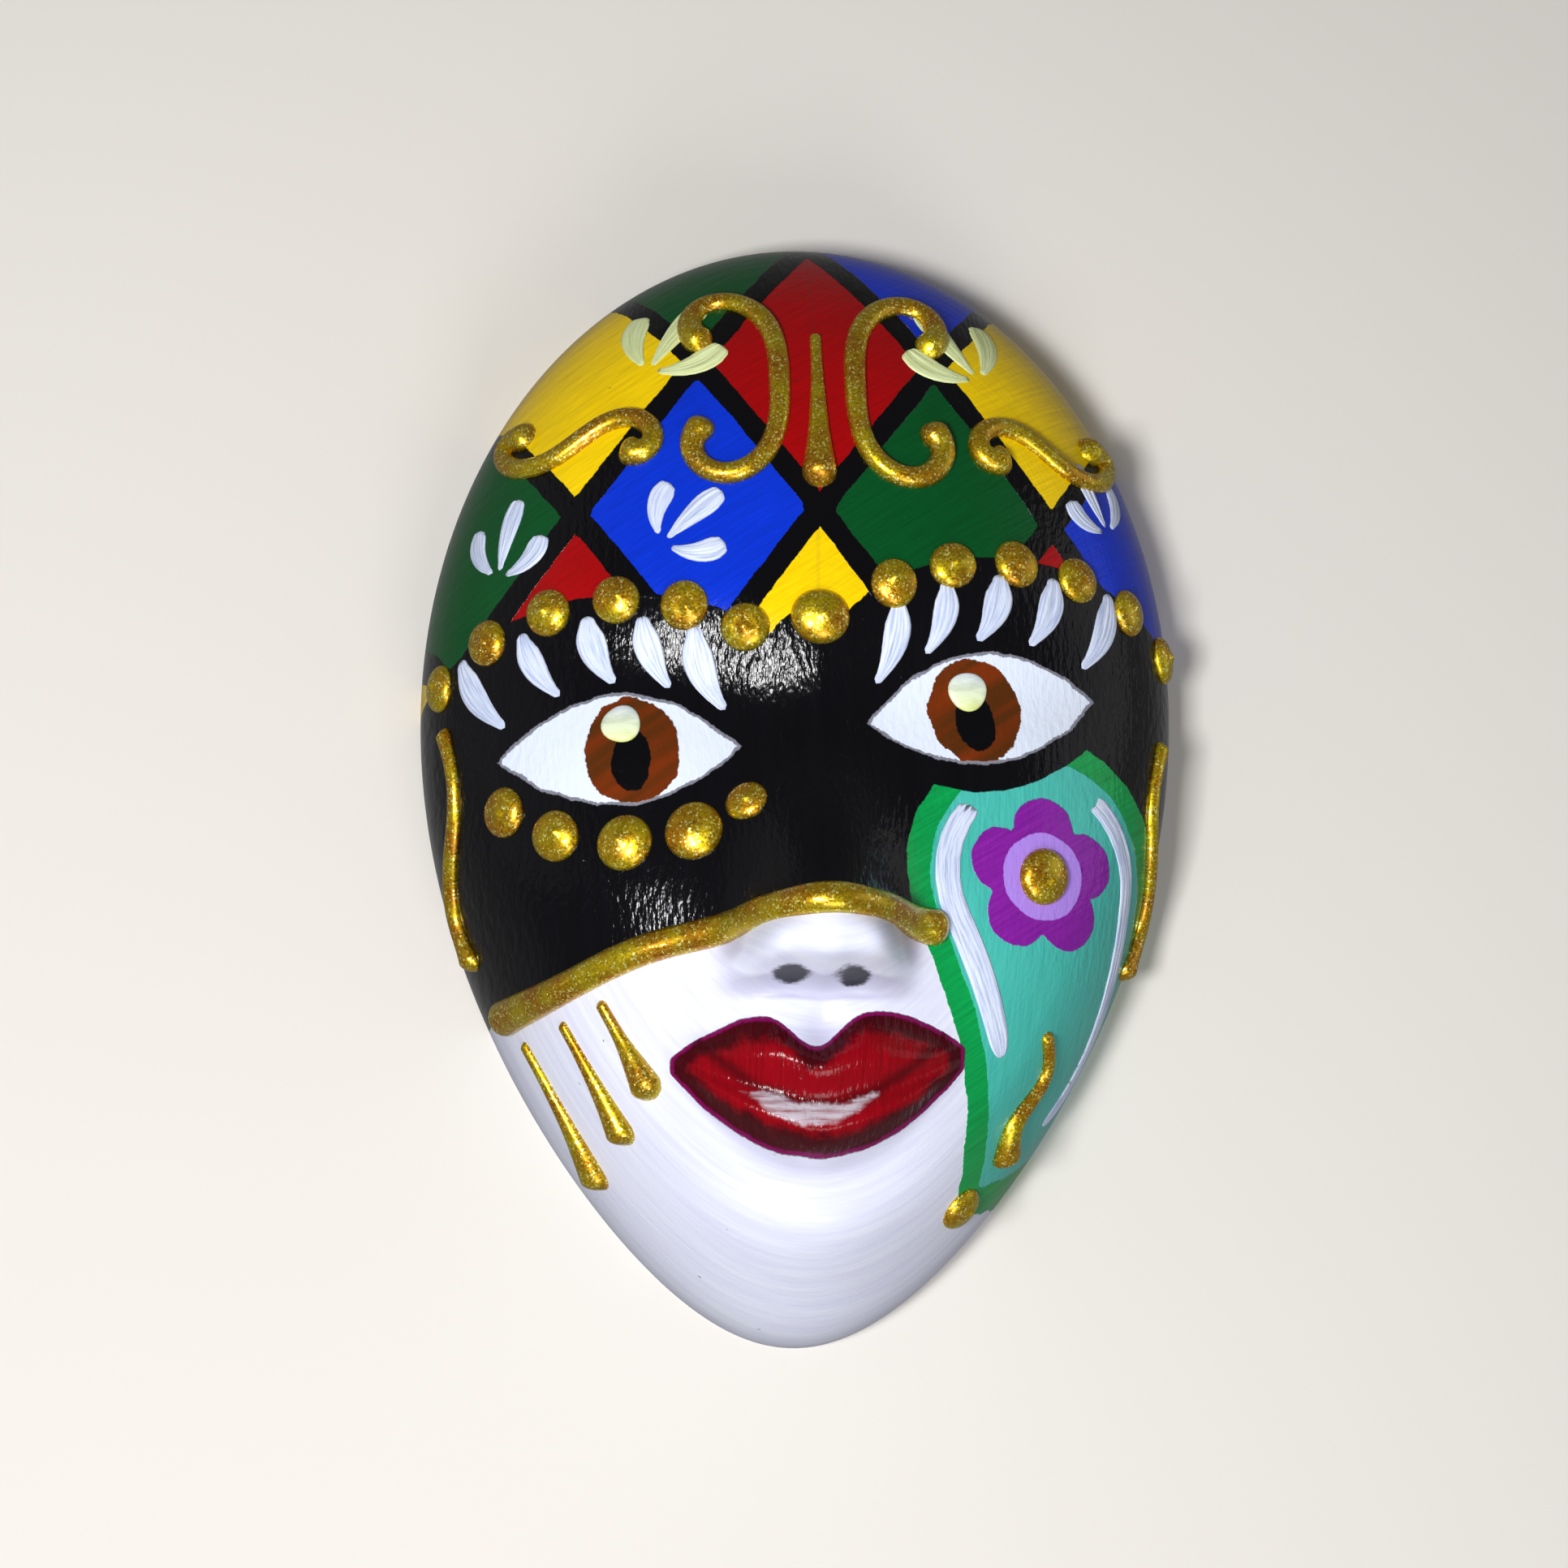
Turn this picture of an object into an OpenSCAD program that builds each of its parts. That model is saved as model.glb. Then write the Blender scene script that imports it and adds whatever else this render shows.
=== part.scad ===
// Small cast plaster face mask with raised gold paint, hung on the wall by a bent wire loop.
// The mask faces -Y with its crown up, and its flat back rim lies in the plane y = 0.
// The origin is the middle of the nail that carries the wire loop.
// A level is a height above the lowest point of the chin, and a reach is a distance in front of the rim.

/* [Mask] */
// Height of the mask, from chin to crown
mask_h = 100; // [90:1:120]
// Width of the mask at its widest level
mask_w = 68; // [62:1:80]
// Level at which the mask is widest
widest_level = 56.5; // [52:0.5:60]
// Reach of the plain dome, without the face on it
dome_reach = 24; // [21:0.5:30]
// How square the dome's section is, where 2 is round
dome_squareness = 2.4; // [2.2:0.1:3]
// Share of its width that the jaw loses towards the chin
jaw_taper = 0.26; // [0.1:0.01:0.35]
// Thickness of the cast wall
wall = 4.5; // [3.5:0.1:6]

/* [Face] */
// Level of the brow ridges
brow_level = 61; // [59:0.5:63]
// Level of the middle of the eyes
eye_level = 51; // [49:0.5:53]
// Distance between the middles of the two eyes
eye_spacing = 31; // [28:0.5:34]
// How much higher than the middle the right eye and brow are painted, and the left ones lower
eye_slant = 2; // [0:0.5:3]
// Level at which the nose leaves the forehead
nose_root_level = 57; // [55:0.5:59]
// Level of the tip of the nose
nose_tip_level = 35.6; // [33:0.2:38]
// Level of the lower edge of the nose
nose_base_level = 30.4; // [29:0.2:32]
// Rise of the nose over the face around it
nose_rise = 8.5; // [5:0.5:11]
// Width of the nose over its wings
nose_w = 14.4; // [12:0.2:18]
// Level of the line between the lips
mouth_level = 20.2; // [19:0.2:22]
// Rise of the mouth's corners over its middle
mouth_lift = 4; // [0:0.2:5]
// Width of the mouth
mouth_w = 25; // [20:0.2:30]
// Height of the upper lip
upper_lip_h = 5.8; // [3:0.2:7]
// Height of the lower lip
lower_lip_h = 4.8; // [4:0.2:8]
// Level of the middle of the chin
chin_level = 7; // [5:0.5:9]

/* [Gold paint] */
// Width of a gold bead on the brow
brow_bead_d = 4.2; // [3:0.1:5]
// Width of the bead between the brows
centre_bead_d = 4.9; // [3:0.1:6]
// Width of a gold bead under the eye
eye_bead_d = 4.7; // [3:0.1:5.5]
// Height of a bead, as a share of its width
bead_rise = 0.3; // [0.2:0.02:0.5]
// Number of beads along one brow
brow_beads = 6; // [3:1:7]
// Number of beads under the eye
eye_beads = 5; // [3:1:6]
// Width of the thin raised lines
line_w = 1.9; // [1.2:0.1:2.6]
// Width of the line along the edge of the half-mask
edge_line_w = 2.6; // [1.6:0.1:3.2]
// Height of a raised line, as a share of its width
line_rise = 0.5; // [0.3:0.05:0.8]
// Length of the drops on the cheek
drop_len = 10; // [6:0.5:12]
// Width of a drop at its fat end
drop_w = 3; // [2:0.1:4]

/* [Hanger] */
// Depth of the nail below the crown
nail_drop = 13; // [11:0.5:16]
// Thickness of the nail
nail_d = 2; // [1:0.1:3]
// Thickness of the wire
wire_d = 1.2; // [0.8:0.1:1.6]
// Width of the loop between the middles of its legs
loop_w = 6.4; // [5:0.2:8]
// Height of the loop between the pad and the middle of its arch
loop_h = 6; // [4:0.5:8]
// Distance from the back rim's plane to the middle of the wire
loop_setback = 1.6; // [1:0.1:2.5]
// Width of the pad that holds the wire
pad_w = 14; // [11:0.5:16]
// Height of the pad
pad_h = 8; // [6:0.5:9]
// Thickness of the pad
pad_t = 6; // [5:0.5:7]
// Radius of the pad's corners
pad_corner_r = 2; // [0.5:0.5:2.5]
// Reach of the flat seat that the pad is glued to
seat_reach = 11; // [9:0.5:12]
// Depth of the wire's legs in the pad
leg_depth = 4; // [2:0.5:5]

/* [Hidden] */

PLASTER = "white";
GOLD = "goldenrod";
STEEL = "silver";

half_w = mask_w / 2;
crown_h = mask_h - widest_level;
jaw_h = widest_level;
eye_x = eye_spacing / 2;
hang_level = mask_h - nail_drop;

// Gap that keeps raised paint clear of the faceted plaster under it
paint_gap = 0.1;
// Gap between the wire's leg and its bore
leg_gap = 0.03;
// Step over which the slope of the surface is measured
slope_step = 0.05;
// Cells of the outer surface across, below the widest level and above it, all even
cells_x = 56;
cells_low = 56;
cells_high = 24;
// How much closer together the cells are in the middle than at the sides
cells_drawn_in = 0.25;
// Points round half a raised line, and distance between its sections
line_sides = 6;
ring_step = 1.1;

// ---- Curves that the surface is made of ----

function clamp01(t) = min(max(t, 0), 1);
function smooth01(t) = let (c = clamp01(t)) c * c * (3 - 2 * c);
function ramp(from, to, v) = smooth01((v - from) / (to - from));
function bell(v, middle, spread) = exp(-pow((v - middle) / spread, 2) / 2);
function bump(x, level, at_x, at_level, wide, tall) = bell(x, at_x, wide) * bell(level, at_level, tall);
function twin_bumps(x, level, at_x, at_level, wide, tall) = bump(abs(x), level, at_x, at_level, wide, tall);

// ---- The face, as reach added to the dome ----

function lips(x, level) =
    let (
        r = clamp01(abs(x) / (mouth_w / 2)),
        seam = mouth_level + mouth_lift * r * r - 0.5 * exp(-pow(x / 2.4, 2)),
        bow = 0.7 * exp(-pow((abs(x) - 4.2) / 2.4, 2)) - 0.5 * exp(-pow(x / 2, 2)),
        up = (level - seam) / max(upper_lip_h * (1 - pow(r, 1.7)) + bow, 1.8),
        down = (seam - level) / max(lower_lip_h * (1 - pow(r, 2.2)), 1.8),
        upper = 1.9 * exp(-pow((up - 0.5) / 0.4, 2)),
        lower = 2.6 * exp(-pow((down - 0.52) / 0.42, 2))
    )
    (1 - r * r) * (upper + lower);

function nose(x, level) =
    let (
        t = clamp01((nose_root_level - level) / (nose_root_level - nose_tip_level)),
        fall = ramp(nose_base_level - 1.4, nose_base_level + 0.6, level),
        ridge = (nose_rise - 1.9) * (1 - cos(90 * t)) * fall * exp(-pow(abs(x) / (3.1 + t), 2.2) / 2),
        bridge = 1.4 * bump(x, level, 0, eye_level - 1, 3.4, 7),
        tip = 1.8 * bump(x, level, 0, nose_tip_level - 2.6, 3.4, 2.6) * fall,
        wings = 3.6 * twin_bumps(x, level, nose_w / 2 - 2.2, nose_base_level + 1.6, 1.9, 1.9) * fall,
        creases = -0.8 * twin_bumps(x, level, nose_w / 2 + 1.4, nose_base_level + 2.4, 1.3, 2.6),
        holes = -1.2 * twin_bumps(x, level, nose_w / 6, nose_base_level - 0.4, 1.3, 0.8),
        root = 2.2 * bump(x, level, 0, nose_tip_level + 2.4, 8, 8)
    )
    ridge + bridge + tip + wings + creases + holes + root;

function brow_and_eyes(x, level) =
    1.2 * bump(x, level, 0, brow_level + 14, 17, 12)
    + 1.0 * twin_bumps(x, level, eye_x - 3, brow_level, 9.5, 4.2)
    - 3.0 * twin_bumps(x, level, eye_x - 2.5, eye_level + 1.4, 8, 5.4)
    + 2.8 * twin_bumps(x, level, eye_x, eye_level - 0.2, 6.4, 4.2);

function cheeks_and_chin(x, level) =
    1.8 * twin_bumps(x, level, eye_x + 3.5, nose_tip_level + 3.4, 8, 7.5)
    - 0.6 * twin_bumps(x, level, 11, nose_base_level - 2.4, 3, 5)
    + 3.4 * bump(x, level, 0, mouth_level + 0.4, 17, 12)
    + 1.6 * bump(x, level, 0, mouth_level, 11, 7)
    - 0.6 * bump(x, level, 0, (nose_base_level + mouth_level) / 2 + 0.8, 1.3, 2)
    - 1.2 * bump(x, level, 0, mouth_level - lower_lip_h - 1.6, 6.5, 2.2)
    + 3.4 * bump(x, level, 0, chin_level, 8.5, 4.8);

function face(x, level) =
    brow_and_eyes(x, level) + cheeks_and_chin(x, level) + nose(x, level) + lips(x, level);

// ---- The dome: outline, outer surface and inner surface ----

function narrowing(q) = 1 - jaw_taper * (q < 0 ? q * q : 0);
function dome(rho) = rho > 0.99999 ? 0 : pow(1 - pow(rho, dome_squareness), 1 / dome_squareness);

// Share of the way from the middle to the rim, 0 to 1, with the outline drawn in by inset
function rim_share(x, level, inset) =
    let (
        q = (level - widest_level) / ((level > widest_level ? crown_h : jaw_h) - inset),
        p = x / ((half_w - inset) * narrowing(q))
    )
    norm([p, q]);

function outer_reach(x, level) =
    let (rho = rim_share(x, level, 0))
    dome_reach * dome(rho) + face(x, level) * (1 - ramp(0.8, 1, rho));

// Flat seat for the hanger's pad, blended into the inner surface
function seat_share(x, level) =
    (1 - ramp(pad_w / 2 + 3.5, pad_w / 2 + 7, abs(x)))
    * (1 - ramp(pad_h / 2 + 3.5, pad_h / 2 + 7, abs(level - pad_level)));

function inner_reach(x, level) =
    let (
        rho = rim_share(x, level, wall),
        nose_hollow = 3 * bump(x, level, 0, nose_tip_level + 2.4, 7, 8),
        mouth_hollow = 2.4 * bump(x, level, 0, mouth_level, 15, 10),
        plain = (dome_reach - wall) * dome(rho) + (nose_hollow + mouth_hollow) * (1 - ramp(0.8, 1, rho)),
        share = seat_share(x, level)
    )
    min(plain, plain * (1 - share) + seat_reach * share);

function place(x, level, reach) = [x, -reach, level - hang_level];
function on_face(x, level) = place(x, level, outer_reach(x, level));
function normal_at(x, level) =
    let (
        step = slope_step,
        slope_x = (outer_reach(x + step, level) - outer_reach(x - step, level)) / (2 * step),
        slope_z = (outer_reach(x, level + step) - outer_reach(x, level - step)) / (2 * step)
    )
    -[slope_x, 1, slope_z] / norm([slope_x, 1, slope_z]);

// A square grid pressed into a disc, closer together towards its rim: shares across and up, -1 to 1.
// The grid has every part-th column and row of the outer surface's cells.
function disc_share(i, j, part) =
    let (
        even = 2 * i * part / cells_x - 1,
        a = even * (1 - cells_drawn_in + cells_drawn_in * even * even),
        row = j * part - cells_low,
        b = row / (row < 0 ? cells_low : cells_high),
        dx = a * sqrt(1 - b * b / 2),
        dz = b * sqrt(1 - a * a / 2),
        s = min(norm([dx, dz]), 1),
        k = s > 0 ? (1.35 * s - 0.2 * pow(s, 3) - 0.15 * pow(s, 5)) / s : 1.35
    )
    [dx * k, dz * k];

// Plan position of a disc share, with the outline drawn in by inset
function plan_of(share, inset) =
    [
        share.x * (half_w - inset) * narrowing(share.y),
        widest_level + share.y * ((share.y > 0 ? crown_h : jaw_h) - inset)
    ];

function surface_grid(part, inset, is_outer) =
    let (count_x = cells_x / part, count_z = (cells_low + cells_high) / part)
    [
        for (j = [0:count_z], i = [0:count_x])
            let (
                c = plan_of(disc_share(i, j, part), inset),
                on_rim = i == 0 || j == 0 || i == count_x || j == count_z
            )
            place(c.x, c.y, on_rim ? 0 : is_outer ? outer_reach(c.x, c.y) : inner_reach(c.x, c.y))
    ];

// Numbers of the points round the edge of a grid, from its lower left corner
function edge_loop(count_x, count_z, first) =
    let (row = count_x + 1)
    concat(
        [for (i = [0:count_x - 1]) first + i],
        [for (j = [0:count_z - 1]) first + j * row + count_x],
        [for (i = [count_x:-1:1]) first + count_z * row + i],
        [for (j = [count_z:-1:1]) first + j * row]
    );

function grid_faces(count_x, count_z, first, flip) = [
    for (j = [0:count_z - 1], i = [0:count_x - 1])
        let (
            row = count_x + 1,
            a = first + j * row + i,
            quad = [a, a + row, a + row + 1, a + 1]
        )
        for (half = [[0, 1, 2], [0, 2, 3]])
            let (t = [for (k = half) quad[k]])
            flip ? [t[2], t[1], t[0]] : t
];

// The flat back rim, with two outer points for each inner one
function rim_faces(outer, inner) = [
    for (k = [0:len(inner) - 1])
        let (
            o0 = outer[2 * k],
            o1 = outer[2 * k + 1],
            o2 = outer[(2 * k + 2) % len(outer)],
            i0 = inner[k],
            i1 = inner[(k + 1) % len(inner)]
        )
        for (t = [[o0, o1, i0], [o1, i1, i0], [o1, o2, i1]]) t
];

module mask_shell() {
    cells_z = cells_low + cells_high;
    outer = surface_grid(1, 0, true);
    inner = surface_grid(2, wall, false);
    outer_edge = edge_loop(cells_x, cells_z, 0);
    inner_edge = edge_loop(cells_x / 2, cells_z / 2, len(outer));
    color(PLASTER)
        polyhedron(
            concat(outer, inner),
            concat(
                grid_faces(cells_x, cells_z, 0, false),
                grid_faces(cells_x / 2, cells_z / 2, len(outer), true),
                rim_faces(outer_edge, inner_edge)
            ),
            convexity = 6
        );
}

// ---- Hanger ----

arch_r = loop_w / 2;
// The nail's top bears on the inside of the arch
arch_z = nail_d / 2 + wire_d / 2 - arch_r;
leg_z = arch_z - loop_h;
pad_level = hang_level + leg_z;
pad_back = -seat_reach + pad_t;

module at_legs() {
    for (side = [-1, 1])
        translate([side * arch_r, 0, leg_z])
            children();
}

module hanger_pad() {
    straight_w = pad_w - 2 * pad_corner_r;
    straight_h = pad_h - 2 * pad_corner_r;
    bore_d = wire_d + 2 * leg_gap;
    color(PLASTER)
        difference() {
            translate([0, pad_back, leg_z])
                rotate([90, 0, 0])
                    linear_extrude(pad_t) {
                        square([pad_w, straight_h], center = true);
                        square([straight_w, pad_h], center = true);
                        for (sx = [-1, 1], sz = [-1, 1])
                            translate([sx * straight_w / 2, sz * straight_h / 2])
                                circle(pad_corner_r, $fn = 32);
                    }
            at_legs()
                translate([0, pad_back + 1, 0])
                    rotate([90, 0, 0])
                        cylinder(d = bore_d, h = leg_depth + leg_gap + 1, $fn = 32);
        }
}

module hanger_wire() {
    bend_r = wire_d;
    color(STEEL) {
        // Arch that hangs on the nail
        translate([0, -loop_setback, arch_z])
            rotate([90, 0, 0])
                rotate_extrude(angle = 180, $fn = 64)
                    translate([arch_r, 0])
                        circle(d = wire_d, $fn = 24);
        at_legs() {
            translate([0, -loop_setback, bend_r])
                cylinder(d = wire_d, h = loop_h - bend_r, $fn = 24);
            translate([0, -loop_setback - bend_r, bend_r])
                rotate([0, 90, 0])
                    rotate_extrude(angle = 90, $fn = 64)
                        translate([bend_r, 0])
                            circle(d = wire_d, $fn = 24);
            translate([0, -loop_setback - bend_r, 0])
                rotate([90, 0, 0])
                    cylinder(d = wire_d, h = leg_depth - pad_back - loop_setback - bend_r, $fn = 24);
        }
    }
}

// ---- Raised gold paint ----

// A bead of thick paint whose middle is drawn up to a soft point
module bead(x, level, d) {
    n = normal_at(x, level);
    r = d / 2;
    h = d * bead_rise;
    color(GOLD)
        translate(on_face(x, level) + n * (paint_gap + r * r / 50))
            rotate([0, acos(n.z), atan2(n.y, n.x)])
                rotate_extrude($fn = 32)
                    polygon([
                        [0, 0], [0.92 * r, 0], [r, 0.18 * h], [0.97 * r, 0.38 * h], [0.84 * r, 0.6 * h],
                        [0.6 * r, 0.78 * h], [0.32 * r, 0.88 * h], [0.12 * r, 0.95 * h], [0, h]
                    ]);
}

// A raised line along a path of [x, level] points, with a round end at each end.
// The width goes from w_first to w_last, and the ends swell by swell.
module raised_line(path, w_first, w_last, swell = 0) {
    count = len(path);
    cap = [20, 55];
    function half_width(t) =
        (w_first + (w_last - w_first) * t) / 2 * (1 + swell * (exp(-t * 14) + exp((t - 1) * 14)));
    function heading(k) =
        let (d = path[min(k + 1, count - 1)] - path[max(k - 1, 0)])
        d / norm(d);
    // A section is [plan point, heading, half width, share of the full height]
    sections = concat(
        [for (a = cap)
            let (w = half_width(0))
            [path[0] - heading(0) * w * cos(a), heading(0), w * sin(a), sin(a)]],
        [for (k = [0:count - 1]) [path[k], heading(k), half_width(k / (count - 1)), 1]],
        [for (a = [cap[1], cap[0]])
            let (w = half_width(1))
            [path[count - 1] + heading(count - 1) * w * cos(a), heading(count - 1), w * sin(a), sin(a)]]
    );
    function ring(s) =
        let (
            n = normal_at(s[0].x, s[0].y),
            ahead = on_face(s[0].x + s[1].x * slope_step, s[0].y + s[1].y * slope_step),
            foot = on_face(s[0].x, s[0].y),
            along = (ahead - foot) / norm(ahead - foot),
            side = cross(along, n)
        )
        [for (k = [0:line_sides])
            let (a = 180 * k / line_sides)
            foot + side * (s[2] * cos(a)) + n * (paint_gap + 2 * line_rise * s[2] * s[3] * sin(a))];
    rings = [for (s = sections) each ring(s)];
    row = line_sides + 1;
    last = (len(sections) - 1) * row;
    color(GOLD)
        polyhedron(
            rings,
            concat(
                [for (s = [0:len(sections) - 2], k = [0:line_sides])
                    let (
                        a = s * row + k,
                        b = s * row + (k + 1) % row
                    )
                    for (t = [[a, a + row, b + row], [a, b + row, b]]) t],
                [[for (k = [0:line_sides]) k], [for (k = [line_sides:-1:0]) last + k]]
            ),
            convexity = 4
        );
}

// Points of a curve given by a function of 0 to 1, about ring_step apart
function sampled(curve, length) =
    let (steps = ceil(length / ring_step))
    [for (k = [0:steps]) curve(k / steps)];

// Points of a scroll whose heading is a function of 0 to 1, with its middle point at middle
function drawn(middle, heading, length) =
    let (
        steps = 2 * ceil(length / ring_step / 2),
        step = length / steps,
        path = [
            for (
                k = 0, p = [0, 0];
                k <= steps;
                p = p + step * [cos(heading((k + 0.5) / steps)), sin(heading((k + 0.5) / steps))], k = k + 1
            ) p
        ]
    )
    [for (p = path) p - path[steps / 2] + middle];
function mirrored(path) = [for (p = path) [-p.x, p.y]];

// The forehead's paint is laid out over the foot of the brow arch on a forehead of this half width and
// height, and is stretched with the mask's own forehead
forehead_half_w = 34;
forehead_h = 47;
forehead_foot = eye_level + 2;
function on_forehead(p) =
    [p.x * half_w / forehead_half_w, forehead_foot + p.y * (mask_h - forehead_foot) / forehead_h];

// The brow arch: an ellipse over each eye, by its angle from the outer end, clear of the mask's edge.
// A side is 1 on the right and -1 on the left.
brow_edge_gap = 1.9;
brow_arch_x = eye_x + 1.6;
brow_arch_h = 13.2;
brow_arch_drop = 1.6;
brow_first = 35;
brow_last = 126;
brow_arch_w = (half_w - brow_edge_gap - brow_arch_x) / cos(brow_first);
function brow_arch(angle, side) =
    let (height = brow_arch_h * sin(angle) - brow_arch_drop + side * eye_slant)
    [side * (brow_arch_x + brow_arch_w * cos(angle)), on_forehead([0, height]).y];

module brow_row(side) {
    for (k = [0:brow_beads - 1]) {
        p = brow_arch(brow_first + (brow_last - brow_first) * k / (brow_beads - 1), side);
        bead(p.x, p.y, brow_bead_d);
    }
}

module brow_beads_left() brow_row(-1);
module brow_beads_right() brow_row(1);
module brow_bead_centre() bead(0, brow_level, centre_bead_d);

// The beads under the left eye: an ellipse round its middle, by angle from the right
eye_ring_w = 12;
eye_ring_h = 7.5;
eye_ring_shift = 0.8;
eye_ring_first = -147;
eye_ring_last = -33;

module eye_beads() {
    for (k = [0:eye_beads - 1]) {
        a = eye_ring_first + (eye_ring_last - eye_ring_first) * k / (eye_beads - 1);
        x = eye_ring_w * cos(a) - eye_x - eye_ring_shift;
        bead(x, eye_level - eye_slant + eye_ring_h * sin(a), eye_bead_d);
    }
}

// Two scrolls that stand back to back on the forehead, curled outwards at both ends
crown_len = 34;
crown_middle = [3.3, 29.4];
scroll_swell = 0.45;
crown_heading = function (t) let (u = 2 * t - 1) 270 + 225 * sign(u) * abs(u) ^ 2.1;
crown_scroll = [for (p = drawn(crown_middle, crown_heading, crown_len)) on_forehead(p)];

module crown_scroll_left() raised_line(mirrored(crown_scroll), line_w, line_w, scroll_swell);
module crown_scroll_right() raised_line(crown_scroll, line_w, line_w, scroll_swell);

// Drop that hangs between the two scrolls
crown_drop_top = 34;
crown_drop_len = drop_len * 1.3;

module crown_drop() {
    path = [for (t = [0:0.1:1]) on_forehead([0, crown_drop_top - crown_drop_len * t])];
    raised_line(path, drop_w * 0.35, drop_w);
}

// A smaller scroll over each temple, curled over at one end and under at the other
temple_len = 21;
temple_middle = [20.5, 24.6];
temple_heading = function (t) let (u = 2 * t - 1) -36 + 235 * abs(u) ^ 2.2;
temple_scroll = [for (p = drawn(temple_middle, temple_heading, temple_len)) on_forehead(p)];

module temple_scroll_left() raised_line(mirrored(temple_scroll), line_w, line_w, scroll_swell);
module temple_scroll_right() raised_line(temple_scroll, line_w, line_w, scroll_swell);

// Lower edge of the half-mask, by x: it falls outwards from the tip of the nose, tilted and slightly waved
edge_drop = 0.4;
edge_fall = 7.1;
edge_flat_x = 5;
edge_fall_x = 29;
edge_wave = 0.25;
edge_wave_turn = 24;
edge_tilt = 0.04;
function half_mask_level(x) =
    let (share = clamp01((abs(x) - edge_flat_x) / (edge_fall_x - edge_flat_x)))
    nose_tip_level - edge_drop - edge_fall * pow(share, 1.2) + edge_tilt * x
    + edge_wave * cos(x * edge_wave_turn);
edge_line_gap = 8.8;
edge_line_last = 9.5;
edge_line_first = edge_line_gap - half_w;
edge_line_path = function (t)
    let (x = edge_line_first + (edge_line_last - edge_line_first) * t)
    [x, half_mask_level(x)];
edge_line_len = 1.1 * (edge_line_last - edge_line_first);

module half_mask_edge() raised_line(sampled(edge_line_path, edge_line_len), edge_line_w, edge_line_w, 0.25);

// Line down each side, just in front of the rim
side_line_len = 19;
side_line_drop = 4;
side_line_gap = 1.5;
side_line_wave = 0.6;
side_line_path = function (t)
    let (
        level = widest_level - side_line_drop - side_line_len * t,
        edge = (half_w - side_line_gap) * sqrt(1 - pow((level - widest_level) / jaw_h, 2)) * 0.975
    )
    [edge - side_line_wave * sin(360 * t), level];
side_line = sampled(side_line_path, side_line_len);

module side_line_left() raised_line(mirrored(side_line), line_w * 0.7, line_w, 0.3);
module side_line_right() raised_line(side_line, line_w * 0.7, line_w, 0.3);

// Three drops that run down the cheek from the half-mask, leaning towards the chin
cheek_drops_x = 21;
cheek_drops_step = 3.1;
cheek_drops_gap = 3.2;
cheek_drops_lean = 30;

module cheek_drops() {
    for (k = [-1:1]) {
        x = cheek_drops_step * k - cheek_drops_x;
        long = drop_len * (1 - 0.25 * k);
        top = [x, half_mask_level(x) - cheek_drops_gap];
        path = [for (t = [0:0.1:1]) top + long * t * [sin(cheek_drops_lean), -cos(cheek_drops_lean)]];
        raised_line(path, drop_w * 0.35, drop_w);
    }
}

// Spine of the curled leaf on the cheek, from its round head to its tip
leaf_head = [19.4, 39.4];
leaf_bend = [23.5, 22];
leaf_tip = [13.4, 11.8];
leaf_drop_len = 11;
leaf_drop_wave = 0.7;
function leaf_spine(t) = (1 - t) ^ 2 * leaf_head + 2 * t * (1 - t) * leaf_bend + t ^ 2 * leaf_tip;
leaf_drop_path = function (t) leaf_spine(0.42 + 0.36 * t) + [leaf_drop_wave * sin(360 * t), 0];

module leaf_drop() raised_line(sampled(leaf_drop_path, leaf_drop_len), line_w * 0.7, drop_w);
module leaf_tip_bead() bead(leaf_tip.x, leaf_tip.y, brow_bead_d);
module flower_bead() bead(leaf_head.x, leaf_head.y, centre_bead_d);

mask_shell();
hanger_pad();
hanger_wire();
brow_beads_left();
brow_beads_right();
brow_bead_centre();
eye_beads();
crown_scroll_left();
crown_scroll_right();
crown_drop();
temple_scroll_left();
temple_scroll_right();
half_mask_edge();
side_line_left();
side_line_right();
cheek_drops();
leaf_drop();
leaf_tip_bead();
flower_bead();
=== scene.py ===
"""A small cast plaster face mask, painted by hand, with raised gold paint and a wire loop in its back."""
import functools
import math
import random

import bmesh
import bpy
import numpy as np
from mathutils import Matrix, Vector, noise


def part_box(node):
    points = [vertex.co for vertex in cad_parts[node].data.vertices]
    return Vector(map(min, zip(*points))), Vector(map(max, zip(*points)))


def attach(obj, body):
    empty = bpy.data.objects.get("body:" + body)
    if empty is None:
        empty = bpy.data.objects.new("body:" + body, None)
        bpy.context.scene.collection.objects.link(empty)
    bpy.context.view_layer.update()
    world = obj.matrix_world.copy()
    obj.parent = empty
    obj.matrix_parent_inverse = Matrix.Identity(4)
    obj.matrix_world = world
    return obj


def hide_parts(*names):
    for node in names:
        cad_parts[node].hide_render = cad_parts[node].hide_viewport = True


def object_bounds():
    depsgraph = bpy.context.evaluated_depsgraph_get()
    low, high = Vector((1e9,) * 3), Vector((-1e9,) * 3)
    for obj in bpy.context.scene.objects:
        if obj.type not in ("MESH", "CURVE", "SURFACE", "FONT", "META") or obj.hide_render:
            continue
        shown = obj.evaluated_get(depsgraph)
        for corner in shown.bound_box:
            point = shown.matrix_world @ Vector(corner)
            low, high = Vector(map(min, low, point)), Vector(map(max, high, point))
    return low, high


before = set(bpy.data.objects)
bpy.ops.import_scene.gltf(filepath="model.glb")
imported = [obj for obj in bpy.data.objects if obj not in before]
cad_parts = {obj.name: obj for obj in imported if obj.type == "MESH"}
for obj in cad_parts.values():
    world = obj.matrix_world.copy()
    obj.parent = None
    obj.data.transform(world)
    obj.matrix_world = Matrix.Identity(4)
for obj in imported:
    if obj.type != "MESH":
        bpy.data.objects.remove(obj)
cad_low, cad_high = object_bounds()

MM = 0.001

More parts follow.
